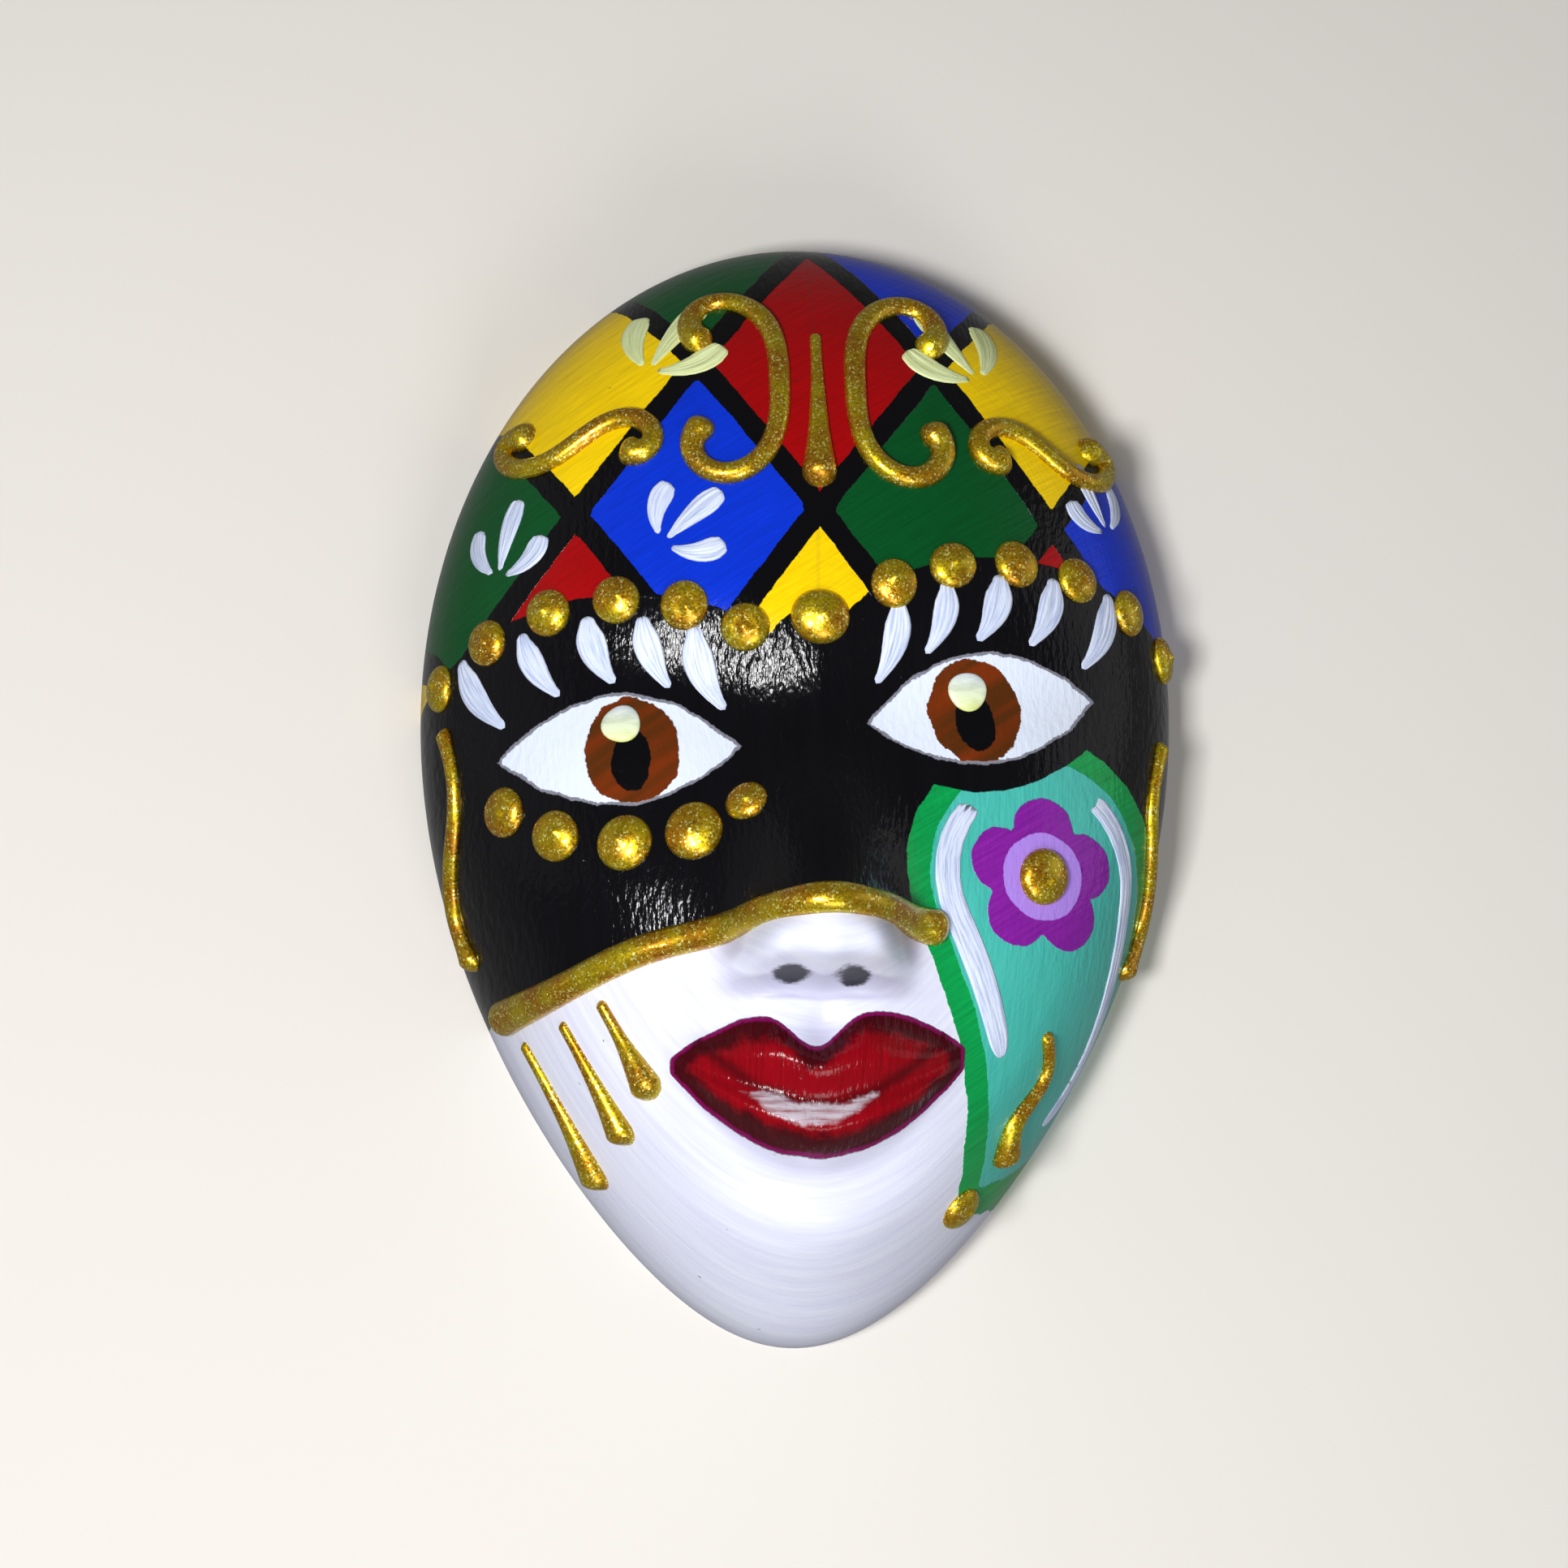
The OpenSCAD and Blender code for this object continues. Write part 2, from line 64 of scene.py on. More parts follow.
# ---- The mask's own sizes, in millimetres ----
# A level is a height above the lowest point of the chin, and a reach is a distance in front of the rim.

shell_low, shell_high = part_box("mask_shell")
CHIN_Z = shell_low.z / MM
MASK_H = (shell_high.z - shell_low.z) / MM
HALF_W = 34.0
WIDEST_LEVEL = 56.5
DOME_REACH = 24.0
DOME_SQUARENESS = 2.4
JAW_TAPER = 0.26
WALL = 4.5
CROWN_H = MASK_H - WIDEST_LEVEL
JAW_H = WIDEST_LEVEL

BROW_LEVEL = 61.0
EYE_LEVEL = 51.0
EYE_X = 15.5
NOSE_ROOT_LEVEL = 57.0
NOSE_TIP_LEVEL = 35.6
NOSE_BASE_LEVEL = 30.4
NOSE_RISE = 8.5
NOSE_W = 14.4
MOUTH_LEVEL = 20.2
MOUTH_LIFT = 4.0
MOUTH_W = 25.0
UPPER_LIP_H = 5.8
LOWER_LIP_H = 4.8
CHIN_LEVEL = 7.0

SEAT_REACH = 11.0
PAD_W = 14.0
PAD_H = 8.0
PAD_LEVEL = 78.6

# Rounded forms of the face: height, distance from the middle on both sides, level, width and length
FACE_FORMS = (
    (1.2, 0, BROW_LEVEL + 14, 17, 12),  # forehead
    (1.0, EYE_X - 3, BROW_LEVEL, 9.5, 4.2),  # brows
    (-3.0, EYE_X - 2.5, EYE_LEVEL + 1.4, 8, 5.4),  # eye hollows
    (2.8, EYE_X, EYE_LEVEL - 0.2, 6.4, 4.2),  # eyeballs
    (1.8, EYE_X + 3.5, NOSE_TIP_LEVEL + 3.4, 8, 7.5),  # cheeks
    (-0.6, 11, NOSE_BASE_LEVEL - 2.4, 3, 5),  # folds beside the nose
    (1.4, 0, EYE_LEVEL - 1, 3.4, 7),  # bridge of the nose
    (2.2, 0, NOSE_TIP_LEVEL + 2.4, 8, 8),  # foot of the nose
    (-0.6, NOSE_W / 2 + 0.2, NOSE_BASE_LEVEL + 2.6, 1.1, 2.4),  # creases of the wings
    (-1.2, NOSE_W / 6, NOSE_BASE_LEVEL - 0.4, 1.3, 0.8),  # nostrils
    (3.4, 0, MOUTH_LEVEL + 0.4, 17, 12),  # muzzle
    (1.6, 0, MOUTH_LEVEL, 11, 7),  # mouth
    (-0.6, 0, (NOSE_BASE_LEVEL + MOUTH_LEVEL) / 2 + 0.8, 1.3, 2),  # groove of the upper lip
    (-1.2, 0, MOUTH_LEVEL - LOWER_LIP_H - 1.6, 6.5, 2.2),  # hollow under the lip
    (3.4, 0, CHIN_LEVEL, 8.5, 4.8),  # chin
)
# The same for the end of the nose, which falls away at its base, and for the back
NOSE_END_FORMS = (
    (1.8, 0, NOSE_TIP_LEVEL - 2.6, 3.4, 2.6),  # tip
    (3.2, NOSE_W / 2 - 2.6, NOSE_BASE_LEVEL + 1.8, 1.6, 1.9),  # wings
)
BACK_HOLLOWS = (
    (3, 0, NOSE_TIP_LEVEL + 2.4, 7, 8),
    (2.4, 0, MOUTH_LEVEL, 15, 10),
)


# ---- The surface, from the same curves as the cast body ----

def smooth01(t):
    c = np.clip(t, 0, 1)
    return c * c * (3 - 2 * c)


def ramp(start, end, v):
    return smooth01((v - start) / (end - start))


def bump(x, level, at_x, at_level, wide, tall):
    return np.exp(-(((x - at_x) / wide) ** 2 + ((level - at_level) / tall) ** 2) / 2)


def forms(x, level, table):
    return sum(height * bump(np.abs(x), level, *shape) for height, *shape in table)


def lip_seam(x):
    r = np.clip(np.abs(x) / (MOUTH_W / 2), 0, 1)
    return MOUTH_LEVEL + MOUTH_LIFT * r * r - 0.5 * np.exp(-((x / 2.4) ** 2))


def lips(x, level):
    r = np.clip(np.abs(x) / (MOUTH_W / 2), 0, 1)
    seam = lip_seam(x)
    bow = 0.7 * np.exp(-(((np.abs(x) - 4.2) / 2.4) ** 2)) - 0.5 * np.exp(-((x / 2) ** 2))
    up = (level - seam) / np.maximum(UPPER_LIP_H * (1 - r**1.7) + bow, 1.8)
    down = (seam - level) / np.maximum(LOWER_LIP_H * (1 - r**2.2), 1.8)
    upper = 1.9 * np.exp(-(((up - 0.5) / 0.4) ** 2))
    lower = 2.6 * np.exp(-(((down - 0.52) / 0.42) ** 2))
    return (1 - r * r) * (upper + lower)


def nose(x, level):
    t = np.clip((NOSE_ROOT_LEVEL - level) / (NOSE_ROOT_LEVEL - NOSE_TIP_LEVEL), 0, 1)
    width = np.exp(-((np.abs(x) / (3.1 + t)) ** 2.2) / 2)
    ridge = (NOSE_RISE - 1.9) * (1 - np.cos(math.pi / 2 * t)) * width
    fall = ramp(NOSE_BASE_LEVEL - 1.8, NOSE_BASE_LEVEL + 0.9, level)
    dip = 1.4 * bump(x, level, -0.5, NOSE_ROOT_LEVEL - 6.3, 4, 4.2)
    return (ridge + forms(x, level, NOSE_END_FORMS)) * fall - dip


def narrowing(q):
    return 1 - JAW_TAPER * np.where(q < 0, q * q, 0)


def dome(rho):
    return np.clip(1 - rho**DOME_SQUARENESS, 0, 1) ** (1 / DOME_SQUARENESS)


def rim_share(x, level, inset=0.0):
    q = (level - WIDEST_LEVEL) / (np.where(level > WIDEST_LEVEL, CROWN_H, JAW_H) - inset)
    p = x / ((HALF_W - inset) * narrowing(q))
    return np.hypot(p, q)


def outer_reach(x, level):
    rho = rim_share(x, level)
    face = forms(x, level, FACE_FORMS) + nose(x, level) + lips(x, level)
    return DOME_REACH * dome(rho) + face * (1 - ramp(0.8, 1, rho))


def inner_reach(x, level):
    rho = rim_share(x, level, WALL)
    hollows = forms(x, level, BACK_HOLLOWS) * (1 - ramp(0.8, 1, rho))
    plain = (DOME_REACH - WALL) * dome(rho) + hollows
    seat = 1.0
    for size, distance in ((PAD_W, x), (PAD_H, level - PAD_LEVEL)):
        seat = seat * (1 - ramp(size / 2 + 3.5, size / 2 + 7, np.abs(distance)))
    return np.minimum(plain, plain * (1 - seat) + SEAT_REACH * seat)


def place(x, level, reach):
    return Vector((x, -reach, CHIN_Z + level)) * MM


def slopes(x, level, step=0.05):
    """How fast the outer surface's reach grows rightwards and upwards."""
    across = (outer_reach(x + step, level) - outer_reach(x - step, level)) / (2 * step)
    return across, (outer_reach(x, level + step) - outer_reach(x, level - step)) / (2 * step)


def normals(x, level):
    across, upwards = slopes(x, level)
    steep = -np.stack([across, np.ones_like(across), upwards], axis=-1)
    return steep / np.linalg.norm(steep, axis=-1, keepdims=True)


def on_face(x, level):
    return place(x, level, float(outer_reach(x, level)))


def normal_at(x, level):
    return Vector(normals(x, level))


def lay_on(verts, plans, heights):
    """Puts vertices on the surface at their (x, level) in mm, raised along its normals by heights in mm."""
    x, level = np.array(plans).T
    feet = np.stack([x, -outer_reach(x, level), level + CHIN_Z], axis=1)
    for vert, point in zip(verts, (feet + normals(x, level) * np.array(heights)[:, None]) * MM):
        vert.co = point


@functools.lru_cache(maxsize=None)
def surface_axes(x, level):
    n = normal_at(x, level)
    along = n.cross(Vector((0, 0, 1))).normalized()
    return along, along.cross(n)


def steps_from(x, level, right, up):
    """The (x, level) reached from a place by steps in mm along the surface, rightwards and upwards."""
    along, upwards = surface_axes(x, level)
    step = along * right + upwards * up
    return x + step.x, level + step.z


# ---- Colours and small shader helpers ----

def colour(r, g, b):
    """A paint's colour from its 0 to 255 values as seen on a screen."""
    shares = [c / 255 for c in (r, g, b)]
    return (*[c / 12.92 if c <= 0.04045 else ((c + 0.055) / 1.055) ** 2.4 for c in shares], 1.0)


WHITE = colour(229, 232, 248)
BLUE = colour(6, 50, 202)
YELLOW = colour(244, 206, 2)
RED = colour(156, 2, 6)
GREEN = colour(2, 76, 32)
BLACK = colour(5, 5, 8)
LILAC = colour(176, 136, 236)
EYE_WHITE = colour(226, 235, 252)
MAROON = colour(62, 0, 9)
MAGENTA = colour(120, 6, 80)
PIT_SHADE_GREY = colour(120, 112, 100)
ORIGIN = (0.0, 0.0, 0.0)


class Value:
    """A shader socket that can be reckoned with like a number, by Math nodes in its own tree."""

    def __init__(self, socket):
        self.socket = socket

    def other(self, name):
        """Another output of the same node."""
        return Value(self.socket.node.outputs[name])

    def math(self, operation, *values):
        return add(self.socket.id_data, "Math", self, *values, operation=operation)

    def __add__(self, value):
        return self.math("ADD", value)

    def __sub__(self, value):
        return self.math("SUBTRACT", value)

    def __rsub__(self, value):
        return self.math("MULTIPLY_ADD", -1.0, value)

    def __mul__(self, value):
        return self.math("MULTIPLY", value)

    def __truediv__(self, value):
        return self.math("DIVIDE", value)

    def __or__(self, value):
        """The larger of two masks."""
        return self.math("MAXIMUM", value)


def feed(socket, value):
    """Gives a socket a plain value, or links a shader value to it."""
    if isinstance(value, Value):
        socket.id_data.links.new(value.socket, socket)
    else:
        socket.default_value = value


def fill(node, **inputs):
    """Sets a node: names in small letters are its settings, and the others are its sockets."""
    for key, value in inputs.items():
        if key[0].islower():
            setattr(node, key, value)
        else:
            feed(node.inputs[key.replace("_", " ")], value)


def add(tree, kind, *values, **inputs):
    """Adds a shader node, with values for its first sockets, and gives its first output."""
    node = tree.nodes.new("ShaderNode" + kind)
    fill(node, **inputs)
    for socket, value in zip(node.inputs, values):
        feed(socket, value)
    return Value(node.outputs[0])


def attribute(tree, name, output="Fac"):
    return add(tree, "Attribute", attribute_name=name).other(output)


def speckle(position, scale, detail, roughness=0.5):
    return add(position.socket.id_data, "TexNoise", Vector=position, Scale=scale, Detail=detail,
               Roughness=roughness)


def between(value, low, high, how="LINEAR"):
    """How far a value has come on the way from low to high, from 0 to 1."""
    return add(value.socket.id_data, "MapRange", interpolation_type=how, Value=value,
               From_Min=low, From_Max=high)


def mix_colour(factor, below, above):
    tree = next(v for v in (factor, below, above) if isinstance(v, Value)).socket.id_data
    node = tree.nodes.new("ShaderNodeMix")
    node.data_type = "RGBA"
    for index, value in ((0, factor), (6, below), (7, above)):
        feed(node.inputs[index], value)
    return Value(node.outputs[2])


def new_material(name):
    mat = bpy.data.materials.new(name)
    mat.use_nodes = True
    return mat, mat.node_tree


def new_finish(name):
    """A material, its tree, and the place in the object that its marks hang on."""
    mat, tree = new_material(name)
    return mat, tree, add(tree, "TexCoord").other("Object")


def surfaced(mat, **inputs):
    fill(mat.node_tree.nodes["Principled BSDF"], **inputs)
    return mat


def relief(height, strength=1.0, distance=MM):
    return add(height.socket.id_data, "Bump", Strength=strength, Distance=distance, Height=height)


def new_group(name, outputs, **inputs):
    """A node group with these outputs and inputs. Gives it and the values of its inputs."""
    group = bpy.data.node_groups.new(name, "ShaderNodeTree")
    for key, value in inputs.items():
        kind = "NodeSocketVector" if isinstance(value, tuple) else "NodeSocketFloat"
        group.interface.new_socket(key, in_out="INPUT", socket_type=kind).default_value = value
    for key in outputs:
        group.interface.new_socket(key, in_out="OUTPUT", socket_type="NodeSocketFloat")
    start = group.nodes.new("NodeGroupInput")
    return group, [Value(start.outputs[key]) for key in inputs]


def finish_group(group, **outputs):
    fill(group.nodes.new("NodeGroupOutput"), **outputs)
    return group


def make_painted_edge():
    """A mask with the slightly shaky edge of a brush, from a distance in mm that is positive inside."""
    group, (position, distance, wobble, soft) = new_group(
        "painted_edge", ["Mask"], Position=ORIGIN, Distance=0.0, Wobble=0.12, Soft=0.05)
    shake = speckle(position, 420.0, 1.0) - 0.5 + (speckle(position, 2600.0, 2.0) - 0.5) * 0.5
    mask = between(shake * (wobble * 3.0) + distance, soft * -1.0, soft, "SMOOTHSTEP")
    return finish_group(group, Mask=mask)


def make_brush_streaks():
    """Streaks left by bristles along the first coordinate, in mm, and slower patches, both 0 to 1."""
    group, (along, across, length, width) = new_group(
        "brush_streaks", ["Streaks", "Patches"], Along=0.0, Across=0.0, Length=9.0, Width=0.35)
    lanes = add(group, "CombineXYZ", along / length, across / width)
    slow = add(group, "VectorMath", lanes, operation="SCALE", Scale=0.16)
    return finish_group(group, Streaks=speckle(lanes, 1.0, 4.0, 0.62), Patches=speckle(slow, 1.0, 2.0))


def make_pits():
    """Air bubbles in the cast, as pits: 1 in each pit, 0 elsewhere, with a share of the cells left whole. A
    grey laid in by this mask is painted shade in the pits.
    """
    group, (position, scale, size, share) = new_group(
        "casting_pits", ["Pits"], Position=ORIGIN, Scale=700.0, Size=0.16, Share=0.2)
    cells = add(group, "TexVoronoi", Vector=position, Scale=scale)
    pick = add(group, "SeparateColor", cells.other("Color"))
    depth = between(cells, size * (pick.other("Green") + 0.4), 0.0, "SMOOTHSTEP")
    return finish_group(group, Pits=depth * pick.math("LESS_THAN", share))


def make_glitter():
    """Flakes in gold paint: how bright each one is, a height that tilts it, and the few that sparkle."""
    group, (position, scale) = new_group(
        "gold_glitter", ["Shade", "Height", "Sparkle"], Position=ORIGIN, Scale=6600.0)
    flakes = add(group, "TexVoronoi", Vector=position, Scale=scale).other("Color")
    pick = add(group, "SeparateColor", flakes)
    tilt = add(group, "VectorMath", flakes, position, operation="DOT_PRODUCT").other("Value")
    return finish_group(group, Shade=pick, Height=(tilt * 3000.0).math("FRACT"),
                        Sparkle=pick.other("Green").math("GREATER_THAN", 0.9))


PAINTED_EDGE = make_painted_edge()
BRUSH_STREAKS = make_brush_streaks()
CASTING_PITS = make_pits()
GOLD_GLITTER = make_glitter()


def grouped(group, first, *values):
    """A node of a group, with values for its inputs in their order."""
    return add(first.socket.id_data, "Group", first, *values, node_tree=group)


def brushed(position, distance, wobble=0.12, soft=0.05):
    """Where paint was laid with a brush, from a distance in mm that is positive inside."""
    return grouped(PAINTED_EDGE, position, distance, wobble, soft)


def bristled(along, across, length, width):
    """Marks of a brush's bristles. The node's other output holds slower patches."""
    return grouped(BRUSH_STREAKS, along, across, length, width)


def pitted(position, scale, size, share):
    return grouped(CASTING_PITS, position, scale, size, share)


# ---- Where each flat colour is painted, as distances in mm that are positive inside ----

EYE_SLANT = 2.0
FOREHEAD_FOOT = EYE_LEVEL + 2
BROW_FIRST = 35
BROW_LAST = 126
BROW_ARCH_X = EYE_X + 1.6
BROW_ARCH_W = (HALF_W - 1.9 - BROW_ARCH_X) / math.cos(math.radians(BROW_FIRST))
BROW_ARCH_H = 13.2
BROW_ARCH_DROP = 1.6
LEAF_HEAD = (19.4, 39.4)
LEAF_BEND = (23.5, 22.0)
LEAF_TIP = (13.4, 11.8)
LEAF_R = 12.2
LEAF_TAPER = 0.72
LEAF_LANE = 8.6
LEAF_BORDER_W = 2.1
FLOWER_PETALS = 5
PETAL_R = 2.75
PETAL_OUT = 4.0
FLOWER_EYE_R = 3.7
IRIS = (4.0, 4.7)
PUPIL = (1.7, 2.7)
EYE_LINE_OUT = (3.2, 1.6, 2.5)
LIPS_TOP = 27.1
LIPS_LOW = 15.2
LIPS_HALF_W = 12.4
NOSTRIL_X = 2.6
NOSTRIL = (1.4, 0.62)
# Middle, half width, heights above and below it and slope of each eye
LEFT_EYE = (-16.8, 49.6, 10.2, 4.8, 4.8, 1.5)
RIGHT_EYE = (14.3, 53.7, 10.2, 4.8, 4.9, 9.0)
LOZENGE_W = 28.0
LOZENGE_H = 38.0
LATTICE_HALF_W = 1.3
UNROLLED = 1.35
FAR_OUTSIDE = -1e3
LOZENGE_COLOURS = [YELLOW, BLUE, GREEN, RED]


def half_mask_level(x):
    share = np.clip((np.abs(x) - 5) / 24, 0, 1) ** 1.2
    return NOSE_TIP_LEVEL - 0.4 - 7.1 * share + 0.04 * x + 0.25 * np.cos(np.radians(x * 24))


def brow_arch(angle, side):
    """A place on the arch over an eye, by its angle from the outer end. Side is 1 on the right, else -1."""
    turn = np.radians(angle)
    height = BROW_ARCH_H * np.sin(turn) - BROW_ARCH_DROP + side * EYE_SLANT
    return side * (BROW_ARCH_X + BROW_ARCH_W * np.cos(turn)), FOREHEAD_FOOT + height


def brow_line(x):
    """Level of the half-mask's upper edge, along the middles of the brow beads."""
    side = np.tanh(x / 3)
    across = np.clip((np.abs(x) - BROW_ARCH_X) / (BROW_ARCH_W + 0.4), -1, 1)
    height = (BROW_ARCH_H + 0.2) * np.sqrt(1 - across**2) - BROW_ARCH_DROP + side * EYE_SLANT
    return np.maximum(FOREHEAD_FOOT + height, BROW_LEVEL + 0.8 - 0.15 * x * x)


def leaf_spine(t):
    shares = ((1 - t) ** 2, 2 * t * (1 - t), t * t)
    return [sum(k * p[i] for k, p in zip(shares, (LEAF_HEAD, LEAF_BEND, LEAF_TIP))) for i in (0, 1)]


def leaf_reach(t):
    """Distance from the leaf's spine to its border."""
    return LEAF_R * (1 - t) ** LEAF_TAPER


def leaf_border_turn(t, out):
    """Direction in degrees from the leaf's spine to its border. Out is 1 on the right, -1 on the left."""
    ahead = Vector(leaf_spine(t + 0.01)) - Vector(leaf_spine(t - 0.01))
    shrinking = leaf_reach(t - 0.01) - leaf_reach(t + 0.01)
    heading = math.degrees(math.atan2(ahead.y, ahead.x))
    return heading + (out * math.degrees(math.acos(shrinking / ahead.length))) % 360


def around(middle, radius, degrees):
    turn = math.radians(degrees)
    return middle[0] + radius * math.cos(turn), middle[1] + radius * math.sin(turn)


def round_distance(x, level, middle, radius):
    return radius - np.hypot(x - middle[0], level - middle[1])


def largest(distances):
    return functools.reduce(np.maximum, distances, FAR_OUTSIDE)


def leaf_distance(x, level):
    return largest(round_distance(x, level, leaf_spine(t), leaf_reach(t)) for t in np.linspace(0, 1, 61))


def petal_distance(x, level):
    petals = [around(LEAF_HEAD, PETAL_OUT, 90 + 360 * k / FLOWER_PETALS) for k in range(FLOWER_PETALS)]
    return largest(round_distance(x, level, petal, PETAL_R) for petal in petals)


def eye_place(x, level):
    """Distances rightwards and upwards from the middle of the nearer eye, turned with its slope."""
    left, right = np.array(LEFT_EYE), np.array(RIGHT_EYE)
    near = np.where((x < -1)[:, None], left, right)
    dx, dz = x - near[:, 0], level - near[:, 1]
    slope = np.radians(near[:, 5])
    return dx * np.cos(slope) + dz * np.sin(slope), dz * np.cos(slope) - dx * np.sin(slope)


def almond(out, up, half_w, upper, lower):
    share = out / half_w
    height = np.where(up > 0, upper, lower)
    slope = 2 * height * np.clip(np.abs(share), 0, 1.2) / half_w
    return (height * (1 - share**2) - np.abs(up)) / np.sqrt(1 + slope**2)


def oval(across, up, half_w, half_h):
    return (1 - np.hypot(across / half_w, up / half_h)) * min(half_w, half_h)


def lip_edges(x, level):
    """The painted outline of the lips, which have blunt corners and sit a little higher on the right."""
    out = np.abs(x - 0.2)
    fall = np.clip((out - 4) / (LIPS_HALF_W - 4), 0, 1.1) ** 2
    top = LIPS_TOP - 2.9 * np.exp(-(((x + 0.4) / 2.6) ** 2)) - 3 * fall + 0.05 * x
    low = LIPS_LOW + 7.4 * (out / LIPS_HALF_W) ** 2 + 0.03 * x
    return np.minimum(np.minimum(top - level, level - low) * 0.85, LIPS_HALF_W - out)


def painted_seam(x):
    return 19.6 + 0.052 * x * x


def unrolled(share_x, share_z):
    """Distances along the surface, so that a pattern isn't stretched where it turns to the rim."""
    return share_x * UNROLLED * HALF_W, share_z * UNROLLED * np.where(share_z > 0, CROWN_H, JAW_H)


# This depth sets where painted shade goes on the white ground
def hollow_share(x, level, step=1.3):
    """How far the surface lies behind its surroundings, in mm."""
    turns = np.arange(8) * math.pi / 4
    nearby = [outer_reach(x + step * math.cos(a), level + step * math.sin(a)) for a in turns]
    return (sum(nearby) / 8 - outer_reach(x, level)) * (1 - ramp(0.75, 0.9, rim_share(x, level)))


def paint_fields(x, level, disc_x, disc_z):
    u, v = unrolled(disc_x, disc_z)
    p = u / LOZENGE_W + v / LOZENGE_H + 0.5
    q = u / LOZENGE_W - v / LOZENGE_H + 0.5
    steep = math.hypot(1 / LOZENGE_W, 1 / LOZENGE_H)
    lattice = np.minimum(np.abs(p - np.round(p)), np.abs(q - np.round(q))) / steep
    pick = (np.floor(p).astype(int) % 2) * 2 + np.floor(q).astype(int) % 2
    slope = (brow_line(x + 0.1) - brow_line(x - 0.1)) / 0.2
    above = (level - brow_line(x)) / np.sqrt(1 + np.clip(slope, -3, 3) ** 2)
    along, up = eye_place(x, level)
    iris_along = along - np.where(x < -1, 1.0, -0.9)
    iris_up = up + 0.2
    seam = painted_seam(x)
    eye_size = LEFT_EYE[2:5]
    line_size = [size + out for size, out in zip(eye_size, EYE_LINE_OUT)]
    fields = {
        "forehead": above,
        "lattice": LATTICE_HALF_W - lattice,
        "half_mask": np.minimum(0.3 - above, level - half_mask_level(x)),
        "leaf": leaf_distance(x, level),
        "petals": petal_distance(x, level),
        "flower_eye": round_distance(x, level, LEAF_HEAD, FLOWER_EYE_R),
        "eye_white": almond(along, up, *eye_size),
        "eye_line": almond(along, up, *line_size),
        "iris": oval(iris_along, iris_up, *IRIS),
        "pupil": oval(iris_along + 0.1, iris_up + 0.9, *PUPIL),
        "lips": lip_edges(x, level),
        "lip_seam": level - seam,
        "lip_light": np.minimum(seam - 0.2 - level, almond(x + 0.6, level - 20.4, 5.2, 0.5, 2.7)),
        "nostrils": oval(np.abs(x) - NOSTRIL_X, level - NOSE_BASE_LEVEL + 0.5, *NOSTRIL),
        "rim_share": np.hypot(disc_x, disc_z),
        "turn": np.arctan2(disc_x, -disc_z),
        "across": u,
        "upward": v,
        "hollow": hollow_share(x, level),
    }
    return fields, np.array(LOZENGE_COLOURS)[pick]


# ---- The cast body ----

CELLS_X = 200
CELLS_LOW = 206
CELLS_HIGH = 84
DRAWN_IN = 0.25
RIM_ROUND = 0.35


def disc_share(even_x, even_z):
    """A place in the unit disc for a place in the square -1 to 1, closer together towards the rim."""
    a = even_x * (1 - DRAWN_IN + DRAWN_IN * even_x * even_x)
    middle = 2 * CELLS_LOW / (CELLS_LOW + CELLS_HIGH) - 1
    b = (even_z - middle) / (1 + middle if even_z < middle else 1 - middle)
    dx = a * math.sqrt(1 - b * b / 2)
    dz = b * math.sqrt(1 - a * a / 2)
    s = min(math.hypot(dx, dz), 1.0)
    k = (1.35 * s - 0.2 * s**3 - 0.15 * s**5) / s if s > 0 else 1.35
    return dx * k, dz * k


def plan_of(share_x, share_z, inset):
    height = (CROWN_H if share_z > 0 else JAW_H) - inset
    return share_x * (HALF_W - inset) * float(narrowing(share_z)), WIDEST_LEVEL + share_z * height


def add_surface(bm, layers, part, inset, reach_of, is_outer):
    """A grid pressed over the dome, whose vertices keep their place in the disc. Gives its rim's edges."""
    made = bmesh.ops.create_grid(
        bm, x_segments=CELLS_X // part, y_segments=(CELLS_LOW + CELLS_HIGH) // part, size=1.0
    )["verts"]
    shares = [disc_share(v.co.x, v.co.y) for v in made]
    plans = [plan_of(sx, sz, inset) for sx, sz in shares]
    reach = reach_of(np.array([p[0] for p in plans]), np.array([p[1] for p in plans]))
    for vert, share, plan, depth in zip(made, shares, plans, reach):
        vert[layers["x"]], vert[layers["z"]] = share
        vert[layers["outer"]] = is_outer
        on_rim = math.hypot(*share) > 0.999999
        vert.co = place(*plan, RIM_ROUND if on_rim else max(float(depth), RIM_ROUND))
    own = set(made)
    return [e for e in bm.edges if e.is_boundary and e.verts[0] in own]


def round_rim(bm, layers, edges, inset, direction):
    """Carries a boundary over a small round onto the flat back rim. Gives the new boundary."""
    for turn in (30, 60, 90):
        grown = bmesh.ops.extrude_edge_only(bm, edges=edges)["geom"]
        edges = [g for g in grown if isinstance(g, bmesh.types.BMEdge)]
        drawn = RIM_ROUND * (1 - math.cos(math.radians(turn)))
        reach = RIM_ROUND * (1 - math.sin(math.radians(turn)))
        for vert in (g for g in grown if isinstance(g, bmesh.types.BMVert)):
            plan = plan_of(vert[layers["x"]], vert[layers["z"]], inset + direction * drawn)
            vert.co = place(*plan, reach)
    return edges


def new_mesh(name, material, build):
    bm = bmesh.new()
    build(bm)
    mesh = bpy.data.meshes.new(name)
    bm.to_mesh(mesh)
    bm.free()
    mesh.materials.append(material)
    return mesh


def new_piece(name, material, slot_name, build, *nodes):
    """A smooth piece of the part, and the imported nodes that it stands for."""
    mesh = new_mesh(name, material, build)
    for polygon in mesh.polygons:
        polygon.use_smooth = True
    piece = bpy.data.objects.new(name, mesh)
    bpy.context.scene.collection.objects.link(piece)
    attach(piece, "root")
    if nodes:
        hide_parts(*nodes)
    return piece


def float_layers(bm, *names):
    layers = bm.verts.layers.float
    return {name: layers.get(name) or layers.new(name) for name in names}


